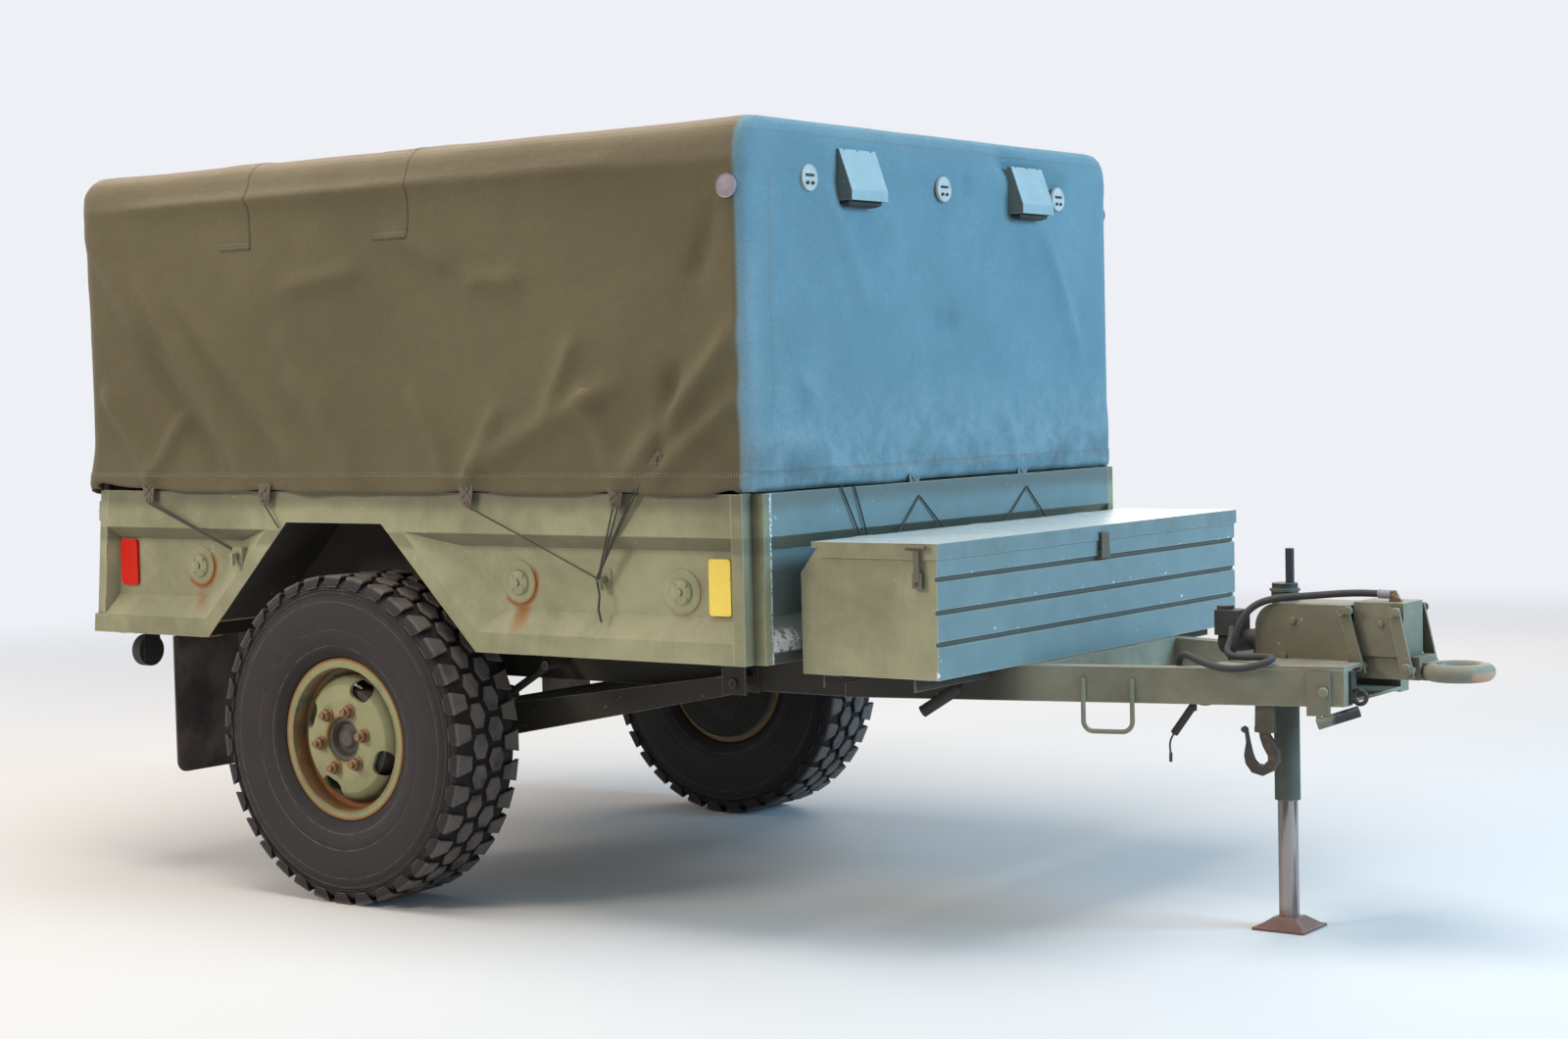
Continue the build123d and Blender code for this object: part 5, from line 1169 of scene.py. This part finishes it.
# %% Repeat the blocks round the tyre
def about_wheel(turn):
    """A turn or a mirror about the wheel's middle in place of the origin."""
    return Matrix.Translation(wheel_middle) @ turn @ Matrix.Translation(-wheel_middle)


def round_wheel(piece, count, start=0.0):
    """Copies of a piece, turned about the axle in equal steps from the start angle in degrees."""
    angles = [math.radians(start + 360 * index / count) for index in range(count)]
    return [copy_of(piece, piece.name, about_wheel(Matrix.Rotation(angle, 4, "Y"))) for angle in angles]


other_shoulder = copy_of(shoulder_block, "other_shoulder", about_wheel(LEFT))
other_centre = copy_of(centre_block, "other_centre", about_wheel(LEFT))
half_step = 180 / LUGS
lugs = round_wheel(shoulder_block, LUGS) + round_wheel(other_shoulder, LUGS, half_step)
lugs += round_wheel(centre_block, LUGS, half_step) + round_wheel(other_centre, LUGS)
for piece in (shoulder_block, other_shoulder, centre_block, other_centre):
    bpy.data.objects.remove(piece)
tyre = join("tyre_right_rubber", [tyre] + lugs)
smooth_by_angle(tyre)
left_tyre = mount_pair(tyre, tyre_rubber, "wheel_right")
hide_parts("tyre_right")
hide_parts("tyre_left")
print("tyre", len(tyre.data.polygons), "faces")

# %% [markdown]
# ## Wheel nuts and the valve
# Six rusty nuts hold each wheel, each with a round seat below and the stud's end showing. One nut is
# modelled, turned about the axle for the six, and mirrored for the other wheel. The tyre valve is a
# small tilted tube that shows in the upper hand hole.

# %% Model a nut and set six on each wheel
STUD_CIRCLE, VALVE_CIRCLE = 0.085, 0.166
disc_face = wheel_middle + Vector((0, -0.099, 0))


def on_stud(name, out, radius, depth, sides, rounding):
    """A short cylinder on the first stud, with its outer rim rounded."""
    middle = disc_face + Vector((STUD_CIRCLE, out, 0))
    piece = cylinder(name, middle, radius, depth, sides)
    bevel_edges(piece, lambda a, b: max(a.y, b.y) < middle.y, rounding)
    return piece


nut = on_stud("wheel_nut", -0.013, 0.0175, 0.016, 6, 0.0022)
seat = on_stud("nut_seat", -0.0028, 0.0205, 0.005, 20, 0.0015)
stud = on_stud("stud_end", -0.026, 0.0098, 0.014, 16, 0.002)
with editing(stud):
    pick_facing(stud, OUT_RIGHT)
    inset(0.003, 0, 0.0012, 0)
one_nut = join("wheel_nut", [nut, seat, stud])
nuts = join("wheel_nuts_right", round_wheel(one_nut, 6, -10))
bpy.data.objects.remove(one_nut)

valve_angle = math.radians(66)
valve_place = wheel_middle + Vector((VALVE_CIRCLE * math.cos(valve_angle), -0.100,
                                     VALVE_CIRCLE * math.sin(valve_angle)))
valve = cylinder("tyre_valve_right", valve_place, 0.0032, 0.034, 12, (math.radians(68), 0, math.radians(14)))
bevel_edges(valve, lambda a, b: max(a.y, b.y) < valve_place.y - 0.010, 0.001)
mount_pair(nuts, orange_rust, "wheel_right")
mount_pair(valve, pale_plastic, "wheel_right")
print("wheel nuts", len(nuts.data.polygons), "faces")

# %% [markdown]
# ## The shields behind the wheels
# A dished plate closes each wheel's inner side and keeps mud off the bearings. Its near-black paint is mud
# and painted shade, so the hand holes look into the dark. It is a disc whose faces are inset and pushed in
# by steps, and it stays with the axle.

# %% Model a shield
shield = cylinder("wheel_shield_right", wheel_middle + Vector((0, 0.1095, 0)), 0.208, 0.005, 64)
with editing(shield):
    for direction in (1, -1):
        pick_facing(shield, (0, direction, 0))
        inset(0.014)
        inset(0.010, 0, 0.010, 0)
        inset(0.060)
        inset(0.012, 0, 0.008, 0)
smooth_by_angle(shield)
mount_pair(shield, housing_paint)
print("shields", len(shield.data.polygons))

# %% [markdown]
# ## Lacing tabs and their cords
# Small cloth tabs hang from the hem, each laced on with a cross of cord. Black elastic cords
# run from the tabs to hooks on the bed and stay taut, so they are drawn as straight runs that bend
# only over the top rail. One tab is modelled lying in the wall's plane and copied to each place.

# %% Model a tab with its crossed lace
LACE_RADIUS, CORD_RADIUS, TAB_HEIGHT = 0.0028, 0.0023, 1.166
tab_top = at(0, -0.9485, TAB_HEIGHT)
tab = block("lacing_tab", tab_top - Vector((0, 0, 0.030)), (0.056, 0.003, 0.060))
with editing(tab):
    pick_facing(tab, DOWN)
    stretch(0.55, 1, 1)
    pick_edges(tab, lambda a, b: abs(a.y - b.y) > 0.001)
    bevel(0.007, 3)
    pick_edges(tab, lambda a, b: max(a.y, b.y) < tab_top.y)
    bevel(0.0008, 1)
face = tab_top + Vector((0, -0.0028, 0))
laces = [rod_between(face + Vector((-lean, 0, -0.008)), face + Vector((lean, 0, -0.034)), LACE_RADIUS)
         for lean in (0.014, -0.014)]
deselect_all()
bpy.ops.mesh.primitive_torus_add(major_radius=0.0075, minor_radius=0.0022, major_segments=16,
                                 minor_segments=6, location=face + Vector((0, 0, -0.050)), rotation=SIDEWAYS)
eyelet = fresh("tab_eyelet")
laced_tab = join("lacing_tab", [tab] + laces + [eyelet])
side_tabs = [copy_of(laced_tab, "tab", Matrix.Translation((place, 0, 0))) for place in tabs]
patch_turn = Matrix.Rotation(math.radians(-42), 4, "Y")
patch_move = Matrix.Translation(at(1.105, 0.003, 1.235)) @ patch_turn
patch_move = patch_move @ Matrix.Translation(-at(0, 0, TAB_HEIGHT))
side_tabs.append(copy_of(laced_tab, "tab", patch_move))
to_front = Matrix.Translation(at(1.397, 0, TAB_HEIGHT)) @ Matrix.Rotation(math.pi / 2, 4, "Z")
to_front = to_front @ Matrix.Translation(-tab_top)
front_tabs = [copy_of(laced_tab, "tab", Matrix.Translation((0, place, 0)) @ to_front)
              for place in (-0.19, 0.375)]
right_tabs = join("lacing_tabs_right", side_tabs)
mount_pair(right_tabs, tab_cloth)
mount(join("lacing_tabs_front", front_tabs), daylit_front_tab_cloth)
bpy.data.objects.remove(laced_tab)
print("tabs", len(right_tabs.data.polygons), "faces")

# %% Stretch the black cords from the tabs to the hooks
RAIL_FACE, RAIL_FOOT = -0.9365, 1.033
front_hook, rear_hook = (0.894, -0.922, 0.925), (-0.449, -0.922, 0.963)
runs = [(0.466, 1.108, front_hook), (0.972, 1.108, front_hook), (0.990, 1.112, front_hook),
        (1.058, 1.180, front_hook), (1.066, 1.172, front_hook), (-0.812, 1.108, rear_hook),
        (-0.805, 1.106, rear_hook), (-0.798, 1.108, rear_hook), (-0.790, 1.112, rear_hook)]
cords = []
for index, (along_tab, tab_height, (hook_x, hook_y, hook_z)) in enumerate(runs):
    reach = (tab_height - RAIL_FOOT) / (tab_height - hook_z)
    over_edge = at(along_tab + (hook_x - along_tab) * reach, RAIL_FACE, RAIL_FOOT)
    end = at(hook_x + 0.006 * (index % 3 - 1), hook_y, hook_z - 0.004 * (index % 2))
    cords += [rod_between(at(along_tab, -0.9480, tab_height), over_edge, CORD_RADIUS),
              rod_between(over_edge, end, CORD_RADIUS)]
tail = [at(*spot) for spot in ((0.894, -0.925, 0.915), (0.902, -0.926, 0.880), (0.897, -0.926, 0.842),
                               (0.906, -0.927, 0.812))]
cords += [rod_between(a, b, LACE_RADIUS) for a, b in zip(tail, tail[1:])]
cords.append(rod_between(at(-0.312, -0.9505, 1.108), at(-0.270, -0.937, 1.040), CORD_RADIUS))
mount_pair(join("lashing_cords_right", cords), black_cord_and_shade)
front_runs = [((-0.19, 1.106), (-0.33, 0.985)), ((-0.19, 1.106), (-0.04, 0.985)),
              ((0.375, 1.106), (0.22, 0.99)), ((0.375, 1.106), (0.50, 0.99)),
              ((-0.56, 1.150), (-0.47, 1.000)), ((-0.50, 1.150), (-0.44, 1.000))]
front_cords = join("lashing_cords_front", [rod_between(at(1.412, *start), at(1.415, *end), CORD_RADIUS)
                                           for start, end in front_runs])
mount(front_cords, black_cord_and_shade)
print("lashings", len(cords), "runs on each side")

# %% [markdown]
# ## Discs on the canvas and the vents' rivets
# Three white plastic discs are fixed to the front of the cover and a grey one to its side near the
# corner. Each is a turned disc with a raised rim, a slot and two holes. The vent hoods are held by
# three rivets along the top. What repeats is modelled once at the origin and copied to its places.

# %% Model the discs
def flat_disc(name, middle, direction, radius, thickness):
    """A disc with a raised rim, facing along direction."""
    way = Vector(direction)
    disc = cylinder(name, middle, radius, thickness, 40, aim(way))
    with editing(disc):
        pick_facing(disc, way)
        inset(radius * 0.12, *(way * -thickness * 0.3))
        inset(radius * 0.5, *(way * thickness * 0.2))
    return disc


disc_places = [at(1.392, sideways, 1.935) for sideways in (-0.642, -0.007, 0.613)]
discs = spread(flat_disc("front_disc", ORIGIN, (1, 0, 0), 0.034, 0.008), disc_places)
marks = [block("disc_slot", (0.0045, 0, 0.006), (0.003, 0.034, 0.007))]
marks += [rod_between(Vector((0.003, sideways, -0.014)), Vector((0.0055, sideways, -0.014)), 0.0045,
                      "disc_hole", 12) for sideways in (-0.011, 0.011)]
for mark in marks:
    bevel_edges(mark, lambda a, b: min(a.x, b.x) > 0.0058, 0.0008)
mount(join("front_discs", discs), pale_plastic)
mount(join("front_disc_slots", spread(join("disc_marks", marks), disc_places)), black_cord_and_shade)
button = flat_disc("side_button_right", at(1.344, -0.9285, 1.904), OUT_RIGHT, 0.030, 0.008)
mount_pair(button, grey_plastic)
print("discs", len(discs), "and a button on each side")

# %% Model the vents' rivets and the blocks of painted shade under the hoods
VENTS = (-0.4355, 0.423)
rivet_places = [at(1.3975, vent + sideways, 2.013) for vent in VENTS for sideways in (-0.060, 0.0, 0.060)]
rivets = spread(flat_disc("vent_rivet", ORIGIN, (0, 0, 1), 0.006, 0.004), rivet_places)
mount(join("vent_rivets", rivets), dark_steel)
# Under each hood a black block stands for the shade in the hood's open bottom: painted shade.
shade_block = block("vent_shade_block", ORIGIN, (0.030, 0.150, 0.012))
with editing(shade_block):
    pick_facing(shade_block, DOWN)
    inset(0.004, -0.004, 0, -0.006)
    stretch(0.8, 0.85, 1)
shade_blocks = join("vent_shade_blocks", spread(shade_block, [at(1.409, vent, 1.879) for vent in VENTS]))
mount(shade_blocks, black_cord_and_shade)
print("discs and rivets", len(discs), len(rivets))

# %% [markdown]
# ## Screws and bolts
# Each round fitting on the bed has four small screws, the coupling has round-headed bolts, and so have
# the latches. A head is a short cylinder with its outer rim bevelled. One is modelled for each size,
# and its copies are joined into one piece for each carrier.

# %% Set the screws and bolts
def screw_head(foot, direction, radius, height):
    way = Vector(direction)
    head = cylinder("screw_head", foot + way * height / 2, radius, height, 14, aim(way))
    with editing(head):
        pick_facing(head, way)
        bevel(height * 0.45)
    return head


def screw_heads(radius, height, places):
    """One head that looks out to the right, copied to each place."""
    return spread(screw_head(ORIGIN, OUT_RIGHT, radius, height), [at(*place) for place in places])


SCREW_CIRCLE = 0.025
quarters = [math.radians(45 + 90 * quarter) for quarter in range(4)]
screws = screw_heads(0.0055, 0.007, [
    (along + SCREW_CIRCLE * math.cos(angle), -0.8995, height + SCREW_CIRCLE * math.sin(angle))
    for along, height, _ in side_discs for angle in quarters])
mount_pair(join("disc_screws_right", screws), body_paint)
bolts = screw_heads(0.010, 0.006, ((2.439, -0.0738, 0.794), (2.414, -0.0738, 0.705)))
bolts += screw_heads(0.009, 0.006, ((2.666, -0.0598, 0.792),))
bolts += screw_heads(0.0115, 0.009, ((2.594, -0.086, 0.824), (2.718, -0.086, 0.824),
                                     (2.618, -0.086, 0.687), (2.742, -0.086, 0.689)))
bolts += [copy_of(bolt, "bolt", LEFT) for bolt in bolts]
mount(join("coupling_bolts", bolts), head_paint)
latch_screws = screw_heads(0.006, 0.004, ((1.804, -0.8115, 0.924), (1.804, -0.8115, 0.944)))
latch_screws += [copy_of(screw, "latch_screw", LEFT) for screw in latch_screws]
mount(join("latch_screws", latch_screws), dark_steel)
print("screws", len(screws), "bolts", len(bolts))

# %% [markdown]
# ## The emergency hook and the shackle's bolt
# The hook is forged from a flat bar. Its outline starts as one vertex, which is extruded from point to
# point and filled, and the face is then extruded to the bar's thickness and its edges are bevelled.
# A doubled strap of webbing holds it under the right beam.

# %% Draw the hook's outline and give it thickness
# In tenths of a millimetre ahead of the axle and above the ground.
hook_outline = (
    (24205, 5400), (24470, 5400), (24500, 5265), (24622, 5097), (24734, 4911), (24741, 4646),
    (24612, 4396), (24290, 4238), (24002, 4305), (23836, 4513), (23797, 4730), (23855, 5050),
    (23832, 5267), (23732, 5310), (23722, 5397), (23808, 5450), (23892, 5407), (23911, 5272),
    (23960, 5032), (24020, 4793), (24086, 4627), (24189, 4532), (24321, 4521), (24438, 4626),
    (24434, 4747), (24301, 4980), (24225, 5200))
hook_chain = [(along / 10000, -0.239, height / 10000) for along, height in hook_outline]
emergency_hook = drawn("emergency_hook", at(*hook_chain[0]), hook_chain)
with editing(emergency_hook):
    pick_everything()
    bpy.ops.mesh.edge_face_add()
    extrude(0, 0.014, 0)
    pick_everything()
    bpy.ops.mesh.normals_make_consistent(inside=False)
    pick_edges(emergency_hook, lambda a, b: abs(a.y - b.y) < 0.001)
    bevel(0.0035)
mount(emergency_hook, dark_steel)
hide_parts("safety_hook")
print("hook", len(emergency_hook.data.polygons), "faces")

# %% Shape the webbing and set the bolt
webbing = block("hook_webbing", at(2.4365, -0.232, 0.5655), (0.049, 0.019, 0.069))
with editing(webbing):
    pick_everything()
    bpy.ops.mesh.subdivide(number_cuts=6)
    pick_faces(webbing, lambda middle, normal: middle.z < 0.545 and abs(normal.y) > 0.5)
    stretch(1.06, 1.12, 1)
    pick_faces(webbing, lambda middle, normal: middle.z > 0.585 and abs(normal.y) > 0.5)
    stretch(0.90, 0.8, 1)
with_modifier(webbing, "SMOOTH", factor=0.5, iterations=2)
mount(webbing, webbing_cloth)
beam_out_way = Vector((0.2664, -0.9639, 0)).normalized()
shackle_bolt = screw_head(at(2.5855, -0.2227, 0.6365), beam_out_way, 0.0125, 0.009)
mount(shackle_bolt, chassis_paint)
print("webbing", len(webbing.data.polygons), "faces")

# %% [markdown]
# ## The grip under the toolbox
# A lever with a black moulded grip points out from under the toolbox's right end, below the beam. It
# could be one swept curve, but it is straight, so two round rods along one line do. The grip's end is
# inset and pushed in, and its foot is bevelled, which gives it the soft look of moulded plastic.

# %% Model the grip on its lever
grip_foot, grip_head = at(1.690, -0.459, 0.626), at(1.608, -0.4865, 0.5705)
lever = rod_between(at(1.745, -0.441, 0.663), grip_foot, 0.007, "brake_lever", 12)
grip = rod_between(grip_foot, grip_head, 0.0155, "lever_grip", 24)
grip_way = (grip_head - grip_foot).normalized()
with editing(grip):
    pick_facing(grip, grip_way)
    inset(0.0035, *(grip_way * -0.003))
    inset(0.004)
bevel_edges(grip, lambda a, b: abs((a - b).dot(grip_way)) < 0.001
            and (a - grip_foot).dot(grip_way) < 0.004, 0.003)
mount(join("lever_and_grip", [grip, lever]), plug_plastic)
print("grip in place")

# %% [markdown]
# ## The mud flaps
# Each flap is a rubber sheet with its lower corners cut round, in the CAD flap's own place. A plane
# with a thickness would do too, but a thin block lets one bevel round the corners and a second one
# soften the rim. The flap is modelled once and mirrored.

# %% Model the flaps
flap_low, flap_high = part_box("mud_flaps")
flap_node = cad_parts["mud_flaps"]
flap_inner = min(abs((flap_node.matrix_world @ vertex.co).y) for vertex in flap_node.data.vertices)
flap_middle = ((flap_low.x + flap_high.x) / 2, -(flap_high.y + flap_inner) / 2,
               (flap_low.z + flap_high.z) / 2)
flap = block("mud_flap_right", flap_middle,
             (flap_high.x - flap_low.x, flap_high.y - flap_inner, flap_high.z - flap_low.z))
bevel_edges(flap, lambda a, b: abs(a.x - b.x) > 0.002 and max(a.z, b.z) < flap_low.z + 0.01, 0.034, 6)
bevel_edges(flap, lambda a, b: abs(a.x - b.x) < 0.001, 0.0015)
left_flap = copy_of(flap, "mud_flap_left", LEFT)
flaps = mount(join("mud_flap_pair", [flap, left_flap]), flap_rubber)
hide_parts("mud_flaps")
print("flaps", len(flaps.data.polygons))

# %% [markdown]
# ## The cable's bare end and the pull cable's crimp
# At its front end the electric cable has lost its plug: a pale ferrule grips it and bare copper wires
# reach on to the link. The brake pull cable ends in a thin crimped sleeve. The wires are too thin to
# need curves: each is two short rods that lean a little differently, which reads as frayed.

# %% Model the ferrule, the wires and the crimp
ferrule = rod_between(at(2.650, -0.0205, 0.8625), at(2.672, -0.0195, 0.8617), 0.0112, "cable_ferrule", 20)
bevel_edges(ferrule, lambda a, b: abs(a.x - b.x) < 0.001, 0.0015)
wires = []
for index in range(5):
    lean = (index - 2) * 0.003
    path = [at(2.670, -0.0195 + lean, 0.8615), at(2.688, -0.020 + lean * 2.0, 0.8600 + 0.003 * (index % 2)),
            at(2.704, -0.021 + lean * 1.4, 0.8520 - 0.002 * index)]
    wires += [rod_between(a, b, 0.0012, "copper_wire", 6) for a, b in zip(path, path[1:])]
copper = Finish("copper_wire")
tarnish = copper.noise(200.0, 3)
copper.surface(copper.mix(tarnish, (0.72, 0.33, 0.17), (0.30, 0.16, 0.09)), 0.35, tarnish, 0.0002, metal=0.9)
mount(join("cable_wires", wires), copper.material)
mount(ferrule, grey_plastic)
crimp = rod_between(at(2.196, -0.270, 0.4505), at(2.1965, -0.270, 0.470), 0.0042, "pull_cable_crimp", 12)
bevel_edges(crimp, lambda a, b: abs(a.z - b.z) < 0.001, 0.0012)
mount(crimp, dark_steel)
print("cable end with", len(wires), "wire pieces")

# %% [markdown]
# ## Tail lamp lenses
# Each round tail lamp has a red lens with a shallow dome behind a black ring. A cut sphere could make
# the dome, but it is so flat that a disc with a bevelled rim looks the same and has far fewer faces.

# %% Model the lenses
LAMP_INSET = 0.034
lamp_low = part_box("tail_lights")[0]
dome = cylinder("lamp_lens", ORIGIN, 0.024, 0.003, 32, (0, math.pi / 2, 0))
with editing(dome):
    pick_facing(dome, (-1, 0, 0))
    bevel(0.0012)
lamp_out, lamp_height = abs(lamp_low.y) - LAMP_INSET, lamp_low.z + LAMP_INSET
lenses = spread(dome, [(lamp_low.x + 0.001, side * lamp_out, lamp_height) for side in (-1, 1)])
mount(join("tail_lamp_lenses", lenses), lens_plastic)
print("lamp box from", [round(value, 3) for value in lamp_low])

# %% Update the scene
bpy.context.view_layer.update()
